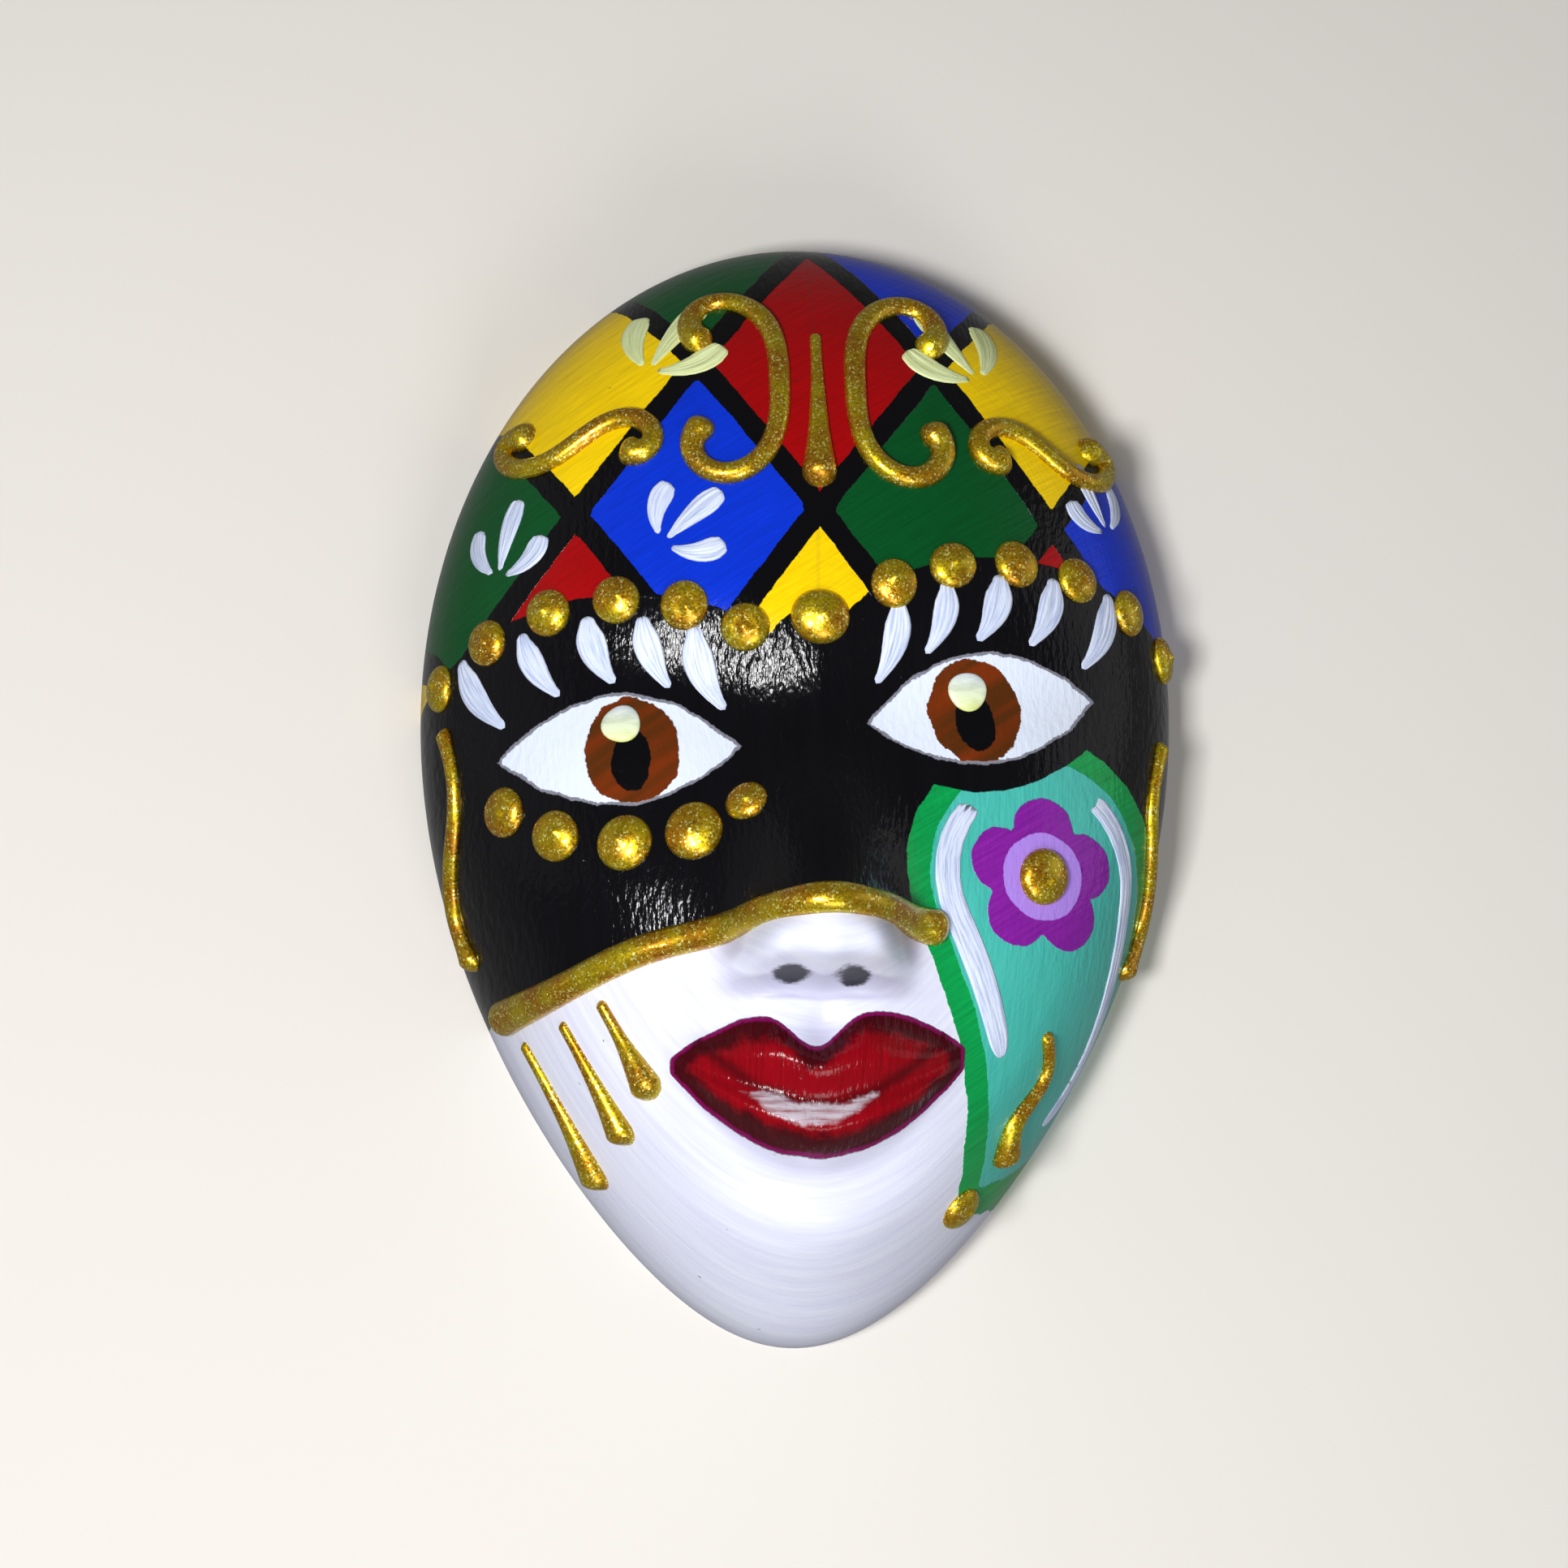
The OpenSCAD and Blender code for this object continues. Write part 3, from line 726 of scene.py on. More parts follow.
def build_shell(bm):
    layers = float_layers(bm, "x", "z", "outer")
    outside = add_surface(bm, layers, 1, 0.0, outer_reach, 1.0)
    outside = round_rim(bm, layers, outside, 0.0, 1)
    inside = add_surface(bm, layers, 2, WALL, inner_reach, 0.0)
    inside = round_rim(bm, layers, inside, WALL, -1)
    bmesh.ops.triangle_fill(
        bm, use_beauty=True, use_dissolve=False, edges=outside + inside, normal=(0, 1, 0))
    bmesh.ops.recalc_face_normals(bm, faces=bm.faces)


def write_fields(mesh):
    """Writes the distances to the edges of each colour into the shell's vertices."""
    share_x, q = np.zeros(len(mesh.vertices)), np.zeros(len(mesh.vertices))
    mesh.attributes["x"].data.foreach_get("value", share_x)
    mesh.attributes["z"].data.foreach_get("value", q)
    x = share_x * HALF_W * narrowing(q)
    level = WIDEST_LEVEL + q * np.where(q > 0, CROWN_H, JAW_H)
    fields, lozenges = paint_fields(x, level, share_x, q)
    for name, values in fields.items():
        layer = mesh.attributes.new(name, "FLOAT", "POINT")
        layer.data.foreach_set("value", np.asarray(values, dtype=np.float32))
    layer = mesh.attributes.new("lozenge", "FLOAT_COLOR", "POINT")
    layer.data.foreach_set("color", lozenges.astype(np.float32).ravel())


def make_painted_plaster():
    mat, tree, position = new_finish("painted_plaster")
    u, v = attribute(tree, "across"), attribute(tree, "upward")

    def painted_field(field, wobble=0.12, soft=0.05, grown=0.0):
        distance = attribute(tree, field)
        return brushed(position, distance + grown if grown else distance, wobble, soft)

    def coat(below, field, tint, *edge, grown=0.0):
        """Lays one colour over what is below it. Gives the new colour and the mask of the paint."""
        mask = painted_field(field, *edge, grown=grown)
        return mix_colour(mask, below, tint), mask

    # Bristle marks: round the jaw on the white, and slanted on the colours
    jaw = bristled(attribute(tree, "turn") * 30.0, attribute(tree, "rim_share") * 46.0, 14.0, 0.5)
    slant = bristled(v * 0.55 + u * 0.83, v * 0.83 - u * 0.55, 7.0, 0.42)
    steep = bristled(v, u, 6.0, 0.3)
    ripples = bristled(v, u, 0.26, 0.1).other("Patches")
    slant_patches = slant.other("Patches")
    pits = pitted(position, 560.0, 0.14, 0.12)

    # White ground, a little lilac in its thin bristle streaks, with painted lilac-grey shade in the face's
    # hollows and painted shade in the pits
    white = mix_colour(between(jaw, 0.38, 0.62), colour(220, 222, 244), WHITE)
    # Painted shade: lilac-grey laid over the white where the surface lies behind its surroundings
    white = mix_colour(between(attribute(tree, "hollow"), 0.02, 0.35) * 0.6, white, colour(172, 168, 196))
    # Painted shade: dark grey in the pits
    white = mix_colour(pits * 0.55, white, colour(96, 90, 104))

    # Forehead: lozenges between black lines
    forehead = painted_field("forehead")
    tints = attribute(tree, "lozenge", "Color")
    lozenges = add(tree, "HueSaturation", Color=tints, Value=slant * 0.7 + 0.68)
    lozenges, lattice = coat(lozenges, "lattice", BLACK, 0.16)
    base = mix_colour(forehead, white, lozenges)

    # Half-mask, leaf and flower
    thin_black = mix_colour(steep.other("Patches"), colour(3, 3, 5), colour(11, 11, 17))
    green = mix_colour(slant, colour(0, 108, 52), colour(14, 186, 92))
    teal = mix_colour(steep, colour(44, 160, 152), colour(92, 208, 194))
    purple = mix_colour(slant, colour(98, 10, 128), colour(158, 42, 182))
    base, half_mask = coat(base, "half_mask", thin_black)
    base, leaf = coat(base, "leaf", green, 0.16)
    base, leaf_inside = coat(base, "leaf", teal, 0.14, grown=-LEAF_BORDER_W)
    base, petals = coat(base, "petals", purple, 0.14)
    base, _ = coat(base, "flower_eye", LILAC, 0.1)

    # Eyes
    base, _ = coat(base, "eye_line", thin_black)
    base, _ = coat(base, "eye_white", colour(128, 128, 142), 0.2, grown=0.12)
    base, eye_white = coat(base, "eye_white", EYE_WHITE, 0.22, grown=-0.12)
    brown = mix_colour(between(slant_patches, 0.4, 0.6), colour(84, 42, 8), colour(118, 46, 8))
    iris = painted_field("iris", 0.28) * eye_white
    base = mix_colour(iris, base, brown)
    base, _ = coat(base, "pupil", BLACK, 0.2)

    # Lips: magenta edge, maroon towards it, crimson inside, with a scrubbed light under the seam
    crimson = mix_colour(steep, colour(84, 0, 8), colour(170, 0, 20))
    base, lips_mask = coat(base, "lips", MAGENTA, 0.1)
    base, _ = coat(base, "lips", MAROON, 0.16, 0.12, grown=-0.3)
    base, _ = coat(base, "lips", crimson, 0.5, 0.5, grown=-1.5)
    seam = brushed(position, 0.5 - attribute(tree, "lip_seam").math("ABSOLUTE"), 0.25, 0.6) * lips_mask
    base = mix_colour(seam * 0.75, base, colour(58, 0, 6))
    scrubbed = painted_field("lip_light", 0.4, 0.3) * (bristled(u, v, 5.0, 0.5) * 2.6 - 0.6)
    base = mix_colour(scrubbed.math("MINIMUM", 0.9), base, colour(202, 196, 208))
    base, _ = coat(base, "nostrils", colour(16, 14, 22), 0.2, 0.16)

    # Bare plaster inside, with a little paint run over the rim
    grain = speckle(position, 900.0, 5.0)
    bare = mix_colour(grain, colour(196, 190, 178), colour(236, 232, 224))
    # Painted shade: grey in the pits
    bare = mix_colour(pits * 0.6, bare, PIT_SHADE_GREY)
    painted = brushed(position, attribute(tree, "outer") - 0.85, 0.05, 0.05)

    # Gloss: varnished colours, drier white, dull plaster
    lines = lattice * forehead
    dark = half_mask | lines
    coats = forehead | half_mask | leaf | lips_mask
    roughness = 0.3 - coats * 0.16 - dark * 0.04 + slant_patches * 0.08 + (1.0 - painted) * 0.5

    # Relief: thickness of each coat, bristle marks, dry brush on the black, and pits
    height = coats * 0.05
    for mask, thick in ((lines, 0.03), (leaf_inside, 0.03), (petals, 0.05), (eye_white, 0.05),
                        (iris, 0.04), (lips_mask, 0.04)):
        height += mask * thick
    smooth = dark | lips_mask | eye_white
    height += (slant * coats * 0.055 + jaw * 0.05) * (1.0 - smooth * 0.85)
    height += ripples * (smooth * 0.11) - pits * 0.09
    height += speckle(position, 2300.0, 3.0, 0.6) * 0.012
    height = height * painted + grain * (0.2 - painted * 0.2)
    return surfaced(mat, Base_Color=mix_colour(painted, bare, base), Roughness=roughness,
                    Specular_IOR_Level=0.22, Normal=relief(height))


# ---- Raised gold paint ----

def make_gold():
    mat, _, position = new_finish("gold_relief_paint")
    shade = grouped(GOLD_GLITTER, position)
    warm = mix_colour(between(speckle(position, 330.0, 2.0), 0.35, 0.62),
                      colour(184, 102, 2), colour(206, 182, 10))
    flake = mix_colour(shade, colour(136, 98, 0), colour(232, 206, 34))
    tint = mix_colour(shade.other("Sparkle"), mix_colour(0.4, warm, flake), colour(250, 242, 140))
    return surfaced(mat, Base_Color=tint, Metallic=0.85, Roughness=shade * 0.16 + 0.26, Coat_Weight=0.35,
                    Coat_Roughness=0.2, Normal=relief(shade.other("Height"), 0.5, 0.04 * MM))


BEAD_RISE = 0.3
BROW_BEAD_D = 4.2
CENTRE_BEAD_D = 4.9
EYE_BEAD_DS = (4.4, 4.5, 4.8, 5.0, 3.6)
LINE_W = 1.9
EDGE_LINE_W = 2.6
LINE_RISE = 0.5
DROP_LEN = 10.0
DROP_W = 3.0
DROP_NECK_W = DROP_W * 0.35
DROP_GATHER = 2.2
SINK = 0.15
RING_STEP = 0.45


def turn_outwards(bm, own):
    """Points the faces of one closed body away from its inside."""
    faces = list({f for v in own for f in v.link_faces})
    bmesh.ops.recalc_face_normals(bm, faces=faces)
    if sum(f.calc_center_median().dot(f.normal) * f.calc_area() for f in faces) < 0:
        bmesh.ops.reverse_faces(bm, faces=faces)


def add_bead(bm, x, level, d, rng):
    """A ball pressed down on the surface, whose top is drawn up to a soft point off its middle."""
    peak = rng.uniform(0, 2 * math.pi)
    lean = rng.uniform(0.05, 0.2)
    peak_x, peak_y = lean * math.cos(peak), lean * math.sin(peak)
    oval_turn, oval_share = rng.uniform(0, math.pi), rng.uniform(0.0, 0.05)
    verts = bmesh.ops.create_uvsphere(bm, u_segments=36, v_segments=24, radius=1.0)["verts"]
    plans, heights = [], []
    for vert in verts:
        share = min(math.hypot(vert.co.x, vert.co.y), 1.0)
        angle = math.atan2(vert.co.y, vert.co.x)
        radius = d / 2 * (1 + oval_share * math.cos(2 * (angle - oval_turn)))
        plans.append(steps_from(x, level, vert.co.x * radius, vert.co.y * radius))
        if vert.co.z >= 0:
            from_peak = math.hypot(vert.co.x - peak_x, vert.co.y - peak_y)
            dome_share = math.sqrt(max(1 - share**2.4, 0.0))
            heights.append(d * BEAD_RISE * (0.78 * dome_share + 0.22 * math.exp(-((from_peak / 0.2) ** 2))))
        else:
            heights.append(-SINK * math.sqrt(max(1 - share * share, 0.0)))
    lay_on(verts, plans, heights)
    turn_outwards(bm, verts)


def steps_at(x, level, ahead):
    """The (x, level) steps that go 1 mm along the surface on a heading, and 1 mm to the left of it."""
    near = 0.05
    step = on_face(x + ahead.x * near, level + ahead.y * near) - on_face(x, level)
    side = normal_at(x, level).cross(step).normalized()
    return ahead * (near * MM / step.length), Vector((side.x, side.z))


def close_ends(bm, own):
    """Merges the doubles of a rolled-up strip of vertices and fills the holes left at its ends."""
    bmesh.ops.remove_doubles(bm, verts=own, dist=1e-6)
    ends = {e for v in own if v.is_valid for e in v.link_edges if e.is_boundary}
    if ends:
        bmesh.ops.holes_fill(bm, edges=list(ends), sides=0)
    turn_outwards(bm, [v for v in own if v.is_valid])


def add_raised_line(bm, path, w_first, w_last, swell=0.0, gather=1.0, seed=0.0, uneven=0.07):
    """A closed strip of thick paint along a path of (x, level) points, with round ends.

    swell widens both ends, and gather above 1 keeps the width for the last end, as in a drop that ran.
    """
    count = len(path)

    def half_width(t):
        ends = math.exp(-t * 14) + math.exp((t - 1) * 14)
        wander = 1 + uneven * noise.noise(Vector((t * count * 0.09, seed, 0.5)))
        return (w_first + (w_last - w_first) * t**gather) / 2 * (1 + swell * ends) * wander

    def heading(k):
        step = Vector(path[min(k + 1, count - 1)]) - Vector(path[max(k - 1, 0)])
        return step.normalized()

    caps = range(4, 90, 8)
    def add_section(k, turn, way):
        ahead, _ = steps_at(*path[k], heading(k))
        w = half_width(k / (count - 1))
        spot = Vector(path[k]) + ahead * way * w * math.cos(turn)
        half = w * math.sin(turn)
        rings.append((spot, steps_at(*spot, heading(k))[1], half, math.sin(turn) * 2 * LINE_RISE * half))

    rings = []
    for a in caps:
        add_section(0, math.radians(a), -1)
    for k in range(count):
        add_section(k, math.pi / 2, 0)
    for a in reversed(caps):
        add_section(count - 1, math.radians(a), 1)
    made = bmesh.ops.create_grid(bm, x_segments=len(rings) - 1, y_segments=20, size=1.0)["verts"]
    plans, heights = [], []
    for vert in made:
        spot, side, half, tall = rings[round((vert.co.x + 1) / 2 * (len(rings) - 1))]
        angle = math.pi * (vert.co.y + 1)
        plans.append(spot + side * half * math.cos(angle))
        heights.append(tall * math.sin(angle) if angle <= math.pi else SINK * math.sin(angle))
    lay_on(made, plans, heights)
    close_ends(bm, made)


def sampled(curve, length):
    steps = math.ceil(length / RING_STEP)
    return [curve(k / steps) for k in range(steps + 1)]


def drawn(middle, heading, length):
    """Points of a scroll round its middle point, whose heading in degrees is a function of 0 to 1."""
    steps = 2 * math.ceil(length / RING_STEP / 2)
    step = length / steps
    path = [Vector((0.0, 0.0))]
    for k in range(steps):
        turn = math.radians(heading((k + 0.5) / steps))
        path.append(path[-1] + Vector((math.cos(turn), math.sin(turn))) * step)
    return [tuple(p - path[steps // 2] + Vector(middle)) for p in path]


def mirrored(path):
    return [(-x, level) for x, level in path]


def add_brow_row(bm, side, rng):
    for k in range(6):
        x, level = brow_arch(BROW_FIRST + (BROW_LAST - BROW_FIRST) * k / 5, side)
        add_bead(bm, float(x), float(level), BROW_BEAD_D, rng)


def add_eye_beads(bm, rng):
    for k, d in enumerate(EYE_BEAD_DS):
        turn = math.radians(-147 + 114 * k / 4)
        level = EYE_LEVEL - EYE_SLANT + 7.5 * math.sin(turn)
        add_bead(bm, 12 * math.cos(turn) - EYE_X - 0.8, level, d, rng)


def crown_scroll():
    def heading(t):
        return 270 + 225 * math.copysign(abs(2 * t - 1) ** 2.1, 2 * t - 1)
    return drawn((3.3, FOREHEAD_FOOT + 29.4), heading, 34)


def temple_scroll():
    return drawn((20.5, FOREHEAD_FOOT + 24.6), lambda t: -36 + 235 * abs(2 * t - 1) ** 2.2, 21)


def side_line():
    def curve(t):
        level = WIDEST_LEVEL - 4 - 19 * t
        edge = (HALF_W - 1.5) * math.sqrt(1 - ((level - WIDEST_LEVEL) / JAW_H) ** 2) * 0.975
        return edge - 0.6 * math.sin(2 * math.pi * t), level
    return sampled(curve, 19)


def leaf_line(t):
    x, level = leaf_spine(0.42 + 0.36 * t)
    return x + 0.7 * math.sin(2 * math.pi * t), level


def half_mask_edge(t):
    x = -25.9 + 35.4 * t
    return x, float(half_mask_level(x))


def add_cheek_drops(bm):
    lean = math.radians(30)
    for k in (-1, 0, 1):
        x = -21.0 + 3.1 * k
        level = float(half_mask_level(x)) - 3.2
        length = DROP_LEN * (1 - 0.25 * k)
        run_x, run_level = length * math.sin(lean), length * math.cos(lean)
        path = [(x + run_x * t, level - run_level * t) for t in np.linspace(0, 1, 28)]
        add_raised_line(bm, path, DROP_NECK_W, DROP_W, gather=DROP_GATHER, seed=4.0 + k)


def both_sides(name, path, *widths):
    return {name + "_left": (mirrored(path), *widths), name + "_right": (path, *widths)}


def make_gold_paint(gold):
    def gold_piece(node, build):
        new_piece("gold_" + node, gold, "gold_paint", build, node)

    rng = random.Random(7)
    gold_piece("brow_beads_left", lambda bm: add_brow_row(bm, -1, rng))
    gold_piece("brow_beads_right", lambda bm: add_brow_row(bm, 1, rng))
    gold_piece("eye_beads", lambda bm: add_eye_beads(bm, rng))
    gold_piece("brow_bead_centre", lambda bm: add_bead(bm, 0.0, BROW_LEVEL, CENTRE_BEAD_D, rng))
    gold_piece("flower_bead", lambda bm: add_bead(bm, *LEAF_HEAD, CENTRE_BEAD_D, rng))
    gold_piece("leaf_tip_bead", lambda bm: add_bead(bm, *LEAF_TIP, BROW_BEAD_D, rng))
    crown_drop = [(0.0, FOREHEAD_FOOT + 34 - DROP_LEN * 1.3 * t) for t in np.linspace(0, 1, 30)]
    even = (LINE_W, LINE_W, 0.45)
    thinned = (LINE_W * 0.7, LINE_W, 0.3)
    lines = {
        **both_sides("crown_scroll", crown_scroll(), *even),
        "crown_drop": (crown_drop, DROP_NECK_W, DROP_W, 0.0),
        **both_sides("temple_scroll", temple_scroll(), *even),
        "half_mask_edge": (sampled(half_mask_edge, 38), EDGE_LINE_W, EDGE_LINE_W, 0.25),
        **both_sides("side_line", side_line(), *thinned),
        "leaf_drop": (sampled(leaf_line, 11), LINE_W * 0.7, DROP_W, 0.0),
    }
    for seed, (node, line) in enumerate(lines.items()):
        gather = DROP_GATHER if node.endswith("drop") else 1.0
        gold_piece(node, lambda bm: add_raised_line(bm, *line, gather, seed=seed * 3.1))
    gold_piece("cheek_drops", add_cheek_drops)


# ---- Thick white strokes and eye lights ----

def make_stroke_paint():
    mat, tree, position = new_finish("thick_white_paint")
    lanes = bristled(attribute(tree, "along"), attribute(tree, "lane"), 4.0, 0.24)
    loaded = between(lanes, 0.36, 0.56)
    cool = mix_colour(loaded, colour(176, 190, 228), colour(222, 232, 254))
    warm = mix_colour(loaded, colour(214, 222, 128), colour(234, 246, 178))
    return surfaced(mat, Base_Color=mix_colour(attribute(tree, "cream"), cool, warm), Roughness=0.36,
                    Normal=relief(lanes * 0.09 + speckle(position, 1500.0, 4.0) * 0.02))


STROKE_SIDES = 20
STROKE_LAYERS = ("along", "lane", "cream")
LASH = (0.0, 0.55, 0.8, 0.98, 1.0, 0.95, 0.84, 0.68, 0.52, 0.36, 0.0)
BAR = (0.72, 0.86, 0.93, 0.97, 1.0, 1.0, 1.0, 1.0, 0.98, 0.9, 0.0)
COMMA = (0.0, 0.3, 0.48, 0.62, 0.74, 0.85, 0.94, 1.0, 0.98, 0.82, 0.0)


def width_share(profile, t):
    """Width of a stroke at t from 0 to 1, from eleven even shares, with round ends."""
    k = min(int(t * 10), 9)
    f = t * 10 - k
    if profile[k] == 0:
        return profile[k + 1] * math.sqrt(max(1 - (1 - f) ** 2, 0.0))
    if profile[k + 1] == 0:
        return profile[k] * math.sqrt(max(1 - f * f, 0.0))
    return profile[k] + (profile[k + 1] - profile[k]) * f


def add_stroke(bm, path, width, profile, rng, thick=0.2, cream=0.0):
    """One loaded brush stroke along (x, level) points: bristle ridges along it, and a ragged start."""
    layers = float_layers(bm, *STROKE_LAYERS)
    points = [Vector(p) for p in path]
    lengths = [0.0]
    for a, b in zip(points, points[1:]):
        lengths.append(lengths[-1] + (b - a).length)
    total = lengths[-1]

    def at(t):
        spot = t * total
        k = next((n for n in range(len(lengths) - 2) if lengths[n + 1] > spot), len(lengths) - 2)
        f = (spot - lengths[k]) / (lengths[k + 1] - lengths[k])
        return points[k].lerp(points[k + 1], f), (points[k + 1] - points[k]).normalized()

    count = max(int(total / 0.25), 12)
    fray_size = 0.9 / total if profile[0] else 0.3 / total
    ragged = [rng.uniform(0.0, fray_size) for _ in range(STROKE_SIDES + 1)]
    ridge_seed = rng.uniform(0, 50)
    made = bmesh.ops.create_grid(bm, x_segments=count, y_segments=2 * STROKE_SIDES, size=1.0)["verts"]
    spots = [at(k / count) for k in range(count + 1)]
    sides = [steps_at(*spot, ahead)[1] for spot, ahead in spots]
    plans, heights = [], []
    for vert in made:
        lane = vert.co.y * 2
        under = abs(lane) > 1
        lane = math.copysign(2 - abs(lane), lane) if under else lane
        t = (vert.co.x + 1) / 2
        t = ragged[round((lane + 1) / 2 * STROKE_SIDES)] * (1 - t) + t
        middle, _ = at(t)
        share = width_share(profile, t)
        plans.append(middle + sides[round(t * count)] * lane * width / 2 * share)
        ridges = 0.8 + 0.5 * noise.noise(Vector((t * total * 0.12, lane * 6, ridge_seed)))
        ends = min(t / 0.06, 1.0) ** 0.5 * math.sqrt(max(1 - max((t - 0.92) / 0.08, 0.0) ** 2, 0.0))
        crest = max(1 - lane**4, 0.0) ** 0.5 * thick * ridges * ends * min(share * 1.6, 1.0)
        heights.append(-0.06 if under else crest + 0.01)
        vert[layers["along"]] = t * total + ridge_seed
        vert[layers["lane"]] = lane * width / 2
        vert[layers["cream"]] = cream
    lay_on(made, plans, heights)
    close_ends(bm, made)


def bent(start, end, bend, steps=8):
    """Points from start to end, bowed to the left of the way there by bend."""
    start, end = Vector(start), Vector(end)
    across = Vector((start.y - end.y, end.x - start.x)).normalized()
    shares = [k / steps for k in range(steps + 1)]
    return [start.lerp(end, t) + across * bend * 4 * t * (1 - t) for t in shares]


def add_dab(bm, x, level, radius=1.7, thick=0.32):
    """A round dab of thick paint, creamier at its top."""
    layers = float_layers(bm, *STROKE_LAYERS)
    verts = bmesh.ops.create_uvsphere(bm, u_segments=32, v_segments=16, radius=1.0)["verts"]
    plans, heights = [], []
    for vert in verts:
        share = math.hypot(vert.co.x, vert.co.y)
        turn = math.atan2(vert.co.y, vert.co.x)
        out = radius * (1 + 0.04 * math.sin(3 * turn + x))
        plans.append(steps_from(x, level, vert.co.x * out, vert.co.y * out))
        vert[layers["along"]] = vert.co.x * radius
        vert[layers["lane"]] = vert.co.y * radius * 0.2
        vert[layers["cream"]] = 0.6 - 0.4 * vert.co.y
        heights.append(-0.08 if vert.co.z < 0 else thick * math.sqrt(max(1 - share**4, 0.0)))
    lay_on(verts, plans, heights)
    turn_outwards(bm, verts)


def add_lashes(bm, eye, side, rng):
    """Five strokes that fan out above the lid, each from its pointed tip down to the lid."""
    slope = math.radians(eye[5])
    for k in range(5):
        along = side * (-9.0 + 18.6 * k / 4)
        lean = math.radians(side * (20 + 10 * k / 4 + rng.uniform(-4, 4)))
        foot = Vector((along, 5.9 - 0.032 * along * along))
        tip = foot + Vector((math.sin(lean), math.cos(lean))) * (6.3 + 0.015 * along * along)
        turned = [(eye[0] + p.x * math.cos(slope) - p.y * math.sin(slope),
                   eye[1] + p.y * math.cos(slope) + p.x * math.sin(slope)) for p in (tip, foot)]
        path = bent(*turned, side * rng.uniform(0.5, 0.9))
        add_stroke(bm, path, rng.uniform(2.2, 2.8), LASH, rng)


# Place, turn, size and cream share of each sprig
SPRIGS = (
    (-15.0, 83.5, -28, 1.0, 0.9),
    (15.0, 83.5, 28, 1.0, 0.9),
    (-14.0, 67.0, -48, 0.8, 0.0),
    (-27.5, 65.0, -12, 0.85, 0.0),
    (26.8, 70.5, 22, 0.8, 0.0),
)


def add_sprigs(bm, rng):
    """Three comma strokes that spring from one point, for each sprig."""
    for x, level, turn, size, cream in SPRIGS:
        for lean, scale, bow in ((-38, 0.8, -0.8), (0, 1.0, 0.2), (38, 0.8, 0.8)):
            angle = math.radians(turn + lean)
            length = 9.6 * size * scale
            tip = steps_from(x, level, length * math.sin(angle), length * math.cos(angle))
            near = steps_from(x, level, 1.4 * math.sin(angle), 1.4 * math.cos(angle))
            add_stroke(bm, bent(near, tip, bow * size), 2.7 * size, COMMA, rng, cream=cream)


def add_leaf_strokes(bm, rng):
    """Two bars that follow the leaf's border, from its head down each side."""
    for out, first_turn, last, width in ((1, 55, 0.6, 2.5), (-1, 138, 0.46, 2.4)):
        join = leaf_border_turn(0, out)
        lanes = [(0, first_turn + (join - first_turn) * k / 6) for k in range(6)]
        lanes += [(t, leaf_border_turn(t, out)) for t in (last * k / 12 for k in range(13))]
        path = [around(leaf_spine(t), leaf_reach(t) - LEAF_R + LEAF_LANE, turn) for t, turn in lanes]
        add_stroke(bm, path, width, BAR, rng, thick=0.16)


def add_eye_lights(bm):
    add_dab(bm, -16.7, 51.8)
    add_dab(bm, 12.9, 55.2)


def make_strokes(white):
    rng = random.Random(11)
    for name, build in (
        ("lash_strokes_left", lambda bm: add_lashes(bm, LEFT_EYE, -1, rng)),
        ("lash_strokes_right", lambda bm: add_lashes(bm, RIGHT_EYE, 1, rng)),
        ("forehead_sprigs", lambda bm: add_sprigs(bm, rng)),
        ("eye_lights", add_eye_lights),
        ("leaf_strokes", lambda bm: add_leaf_strokes(bm, rng)),
    ):
        new_piece(name, white, "plaster", build)


# ---- Hanger ----

def make_bare_plaster():
    mat, _, position = new_finish("bare_plaster")
    grain = speckle(position, 700.0, 6.0)
    pits = pitted(position, 800.0, 0.3, 0.3)
    tint = mix_colour(grain, colour(190, 184, 170), colour(234, 230, 220))
    # The grey in the pits is painted shade
    return surfaced(mat, Base_Color=mix_colour(pits * 0.6, tint, PIT_SHADE_GREY), Roughness=0.85,
                    Normal=relief(grain * 0.4 - pits * 0.5, 0.8, 0.3 * MM))


def make_wire_steel():
    mat, _, position = new_finish("bent_wire")
    scratches = speckle(position, 2600.0, 4.0)
    tint = mix_colour(scratches, colour(128, 126, 120), colour(206, 206, 204))
    return surfaced(mat, Base_Color=tint, Metallic=1.0, Roughness=scratches * 0.3 + 0.2)


def build_pad(bm):
    """The plaster pad, with its corners rubbed round."""
    low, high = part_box("hanger_pad")
    size = high - low
    bmesh.ops.create_cube(bm, size=1.0)
    bmesh.ops.scale(bm, vec=size, verts=bm.verts)
    upright = [e for e in bm.edges if abs((e.verts[0].co - e.verts[1].co).y) > 0.5 * size.y]
    bmesh.ops.bevel(
        bm, geom=upright, offset=2 * MM, segments=6, affect="EDGES", profile=0.5, material=-1)
    back = [e for e in bm.edges if all(v.co.y > 0.45 * size.y for v in e.verts)]
    bmesh.ops.bevel(
        bm, geom=back, offset=0.5 * MM, segments=3, affect="EDGES", profile=0.5, material=-1)
    bmesh.ops.subdivide_edges(bm, edges=bm.edges, cuts=2, use_grid_fill=True)
    bmesh.ops.translate(bm, vec=(low + high) / 2, verts=bm.verts)
    bmesh.ops.recalc_face_normals(bm, faces=bm.faces)


# ---- Stage, lamps and camera ----

FLOOR_DROP = 0.2
WALL_GAP = 0.0004
STAGE_W = 3.0
STONE = colour(226, 222, 216)
GLOSS_SHARE = 0.05
FILL_LIGHT = 0.15
SHOWN_LIGHT = 0.6

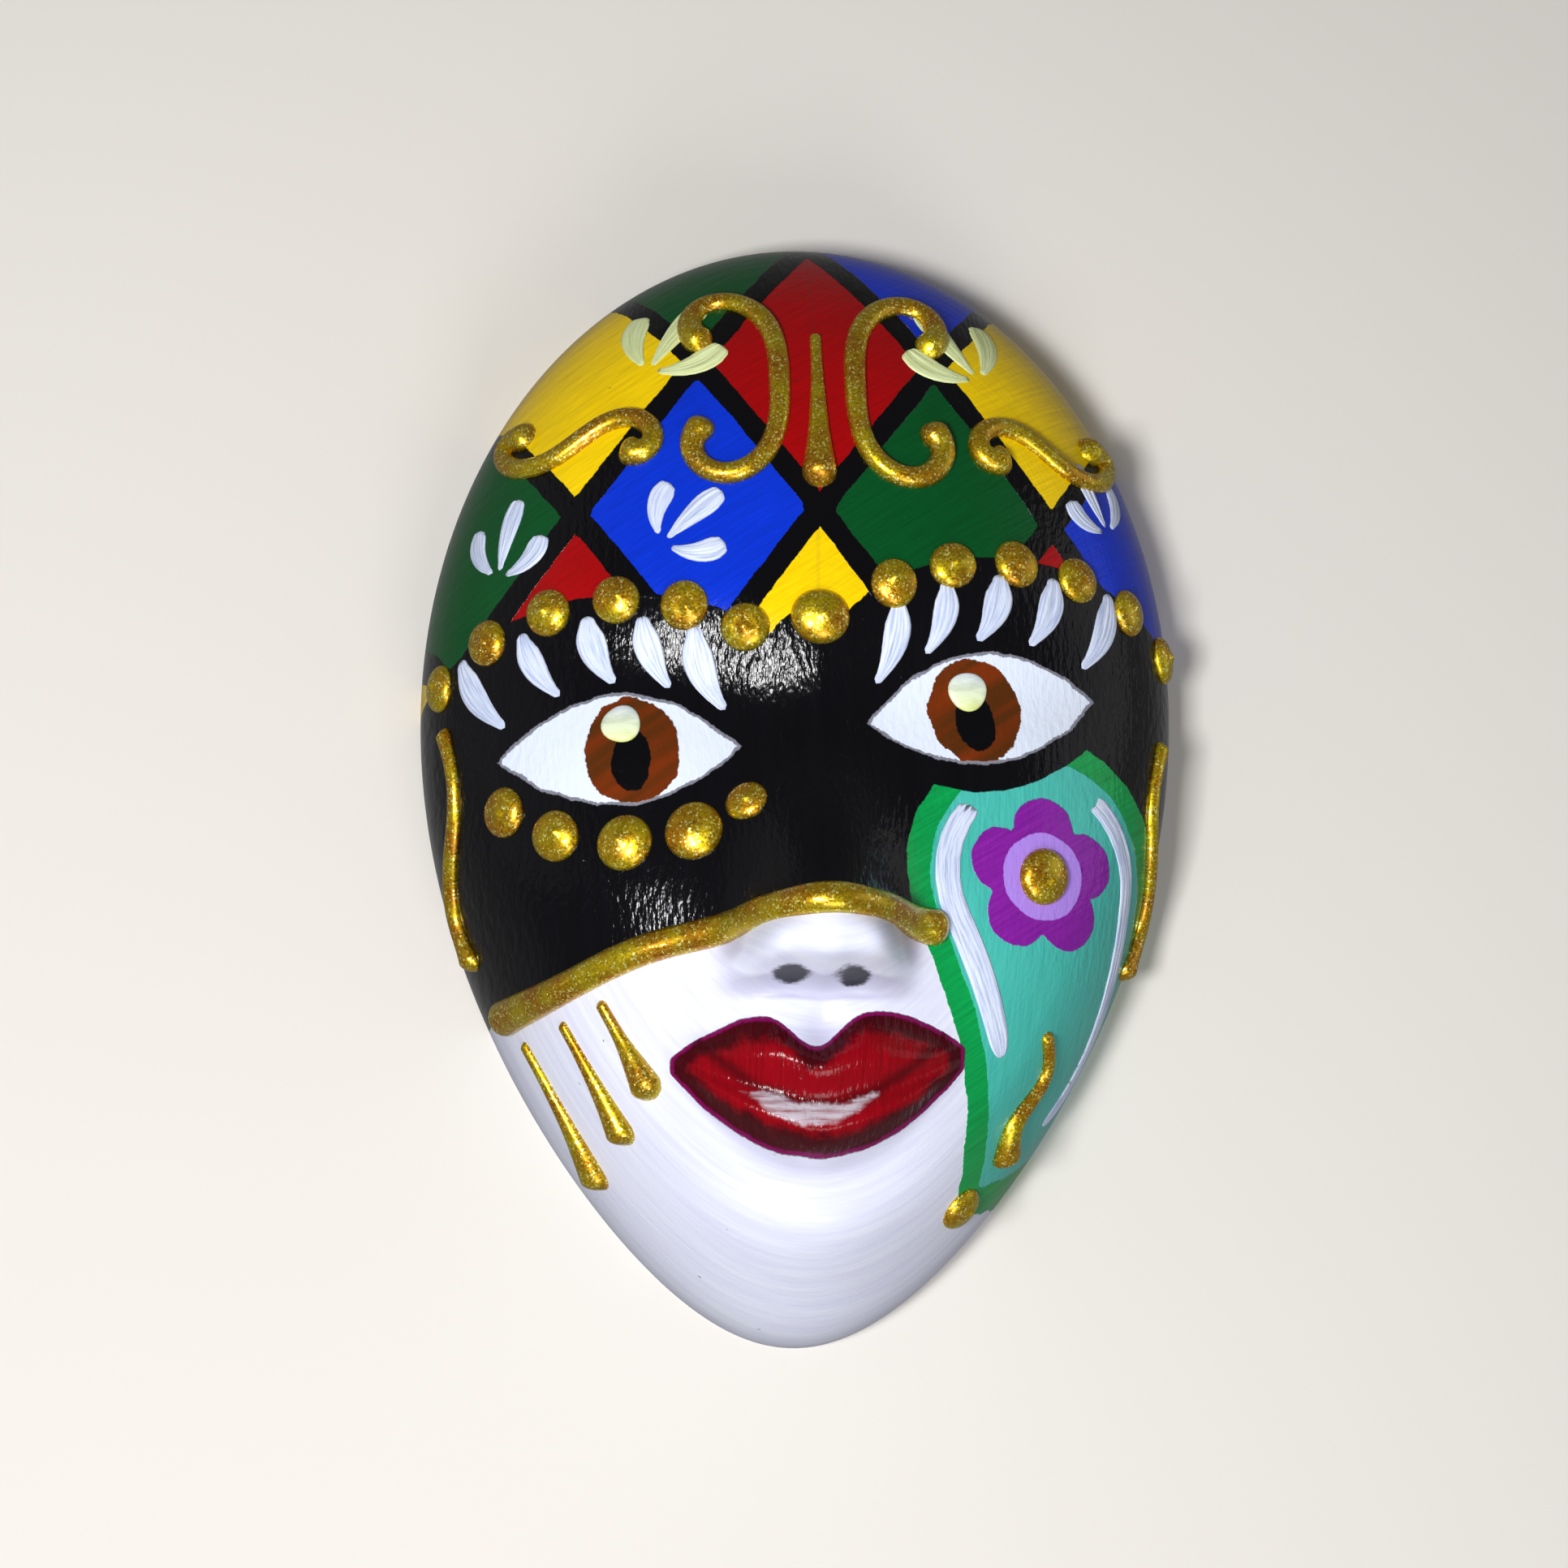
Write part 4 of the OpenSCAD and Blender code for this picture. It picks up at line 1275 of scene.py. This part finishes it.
# Name, place, width and watts of each lamp. All point at the middle of the mask.
MASK_MIDDLE = (0, -0.012, -0.037)
LAMPS = (
    ("key_soft", (-0.11, -0.335, -0.112), 0.07, 1.08),
    ("low_soft", (0.05, -0.25, -0.29), 0.12, 0.3),
    ("left_soft", (-0.42, -0.10, 0.10), 0.40, 0.08),
    ("right_soft", (0.42, -0.10, 0.06), 0.30, 0.16),
    ("back_soft", (0, 0.46, -0.037), 0.06, 1.2),
)


def seen_directly(tree):
    """1 for camera rays, and a share for those that show a thing in metal, varnish or glass."""
    path = add(tree, "LightPath")
    gloss = path.other("Is Glossy Ray") | path.other("Is Transmission Ray")
    return gloss * GLOSS_SHARE + path.other("Is Camera Ray")


def make_stage_material(name, glow):
    """A pale surface that shows only from its front, to the camera and faintly in gloss."""
    mat, tree = new_material(name)
    surfaced(mat, Base_Color=STONE, Roughness=0.9, Specular_IOR_Level=0.1, Emission_Color=STONE,
             Emission_Strength=glow)
    front = 1.0 - add(tree, "NewGeometry").other("Backfacing")
    pale = Value(tree.nodes["Principled BSDF"].outputs[0])
    blend = add(tree, "MixShader", seen_directly(tree) * front, add(tree, "BsdfTransparent"), pale)
    fill(tree.nodes["Material Output"], Surface=blend)
    return mat


def place_object(name, data, location, rotation):
    thing = bpy.data.objects.new(name, data)
    thing.location = location
    thing.rotation_euler = rotation
    bpy.context.scene.collection.objects.link(thing)
    return thing


def add_plane(name, location, facing, glow):
    def build(bm):
        bmesh.ops.create_grid(bm, x_segments=1, y_segments=1, size=STAGE_W / 2)

    mesh = new_mesh(name, make_stage_material("pale_" + name, glow), build)
    plane = place_object(name, mesh, location, Vector(facing).to_track_quat("Z", "Y").to_euler())


def make_stage():
    add_plane("wall", (0, WALL_GAP, 0), (0, -1, 0), 0.0)
    add_plane("floor", (0, 0, cad_low.z - FLOOR_DROP), (0, 0, 1), 0.65)
    world = bpy.data.worlds.new("studio")
    bpy.context.scene.world = world
    world.use_nodes = True
    fill(world.node_tree.nodes["Background"], Color=(1.0, 1.0, 1.0, 1.0),
         Strength=seen_directly(world.node_tree) * SHOWN_LIGHT + FILL_LIGHT)
    for name, location, width, watts in LAMPS:
        lamp = bpy.data.lights.new(name, "AREA")
        lamp.size = width
        lamp.energy = watts
        ahead = Vector(MASK_MIDDLE) - Vector(location)
        place_object(name, lamp, location, ahead.to_track_quat("-Z", "Y").to_euler())


# Direction from the mask to the camera: to the viewer's left of straight ahead, and from below
CAMERA_AZIMUTH = math.radians(-4.75)
CAMERA_ELEVATION = math.radians(-9.75)
CAMERA_ROLL = math.radians(0.25)
CAMERA_DISTANCE = 0.325
CAMERA_AIM = (-0.00194, -0.012, -0.03825)
CAMERA_LENS = 85.0


def make_camera():
    level = math.cos(CAMERA_ELEVATION)
    back = Vector((math.sin(CAMERA_AZIMUTH) * level, -math.cos(CAMERA_AZIMUTH) * level,
                   math.sin(CAMERA_ELEVATION)))
    data = bpy.data.cameras.new("camera")
    data.lens = CAMERA_LENS
    data.sensor_width = 36.0
    camera = place_object("camera", data, Vector(CAMERA_AIM) + back * CAMERA_DISTANCE,
                          (-back).to_track_quat("-Z", "Y").to_euler())
    camera.rotation_euler.rotate_axis("Z", CAMERA_ROLL)
    bpy.context.scene.camera = camera


# ---- Everything together ----

make_camera()
shell = new_piece("mask_body", make_painted_plaster(), "plaster", build_shell, "mask_shell")
write_fields(shell.data)
make_gold_paint(make_gold())
make_strokes(make_stroke_paint())
new_piece("plaster_pad", make_bare_plaster(), "plaster", build_pad, "hanger_pad")
wire_steel = make_wire_steel()
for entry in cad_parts["hanger_wire"].material_slots:
    entry.material = wire_steel
make_stage()
bpy.context.scene.view_settings.view_transform = "Standard"
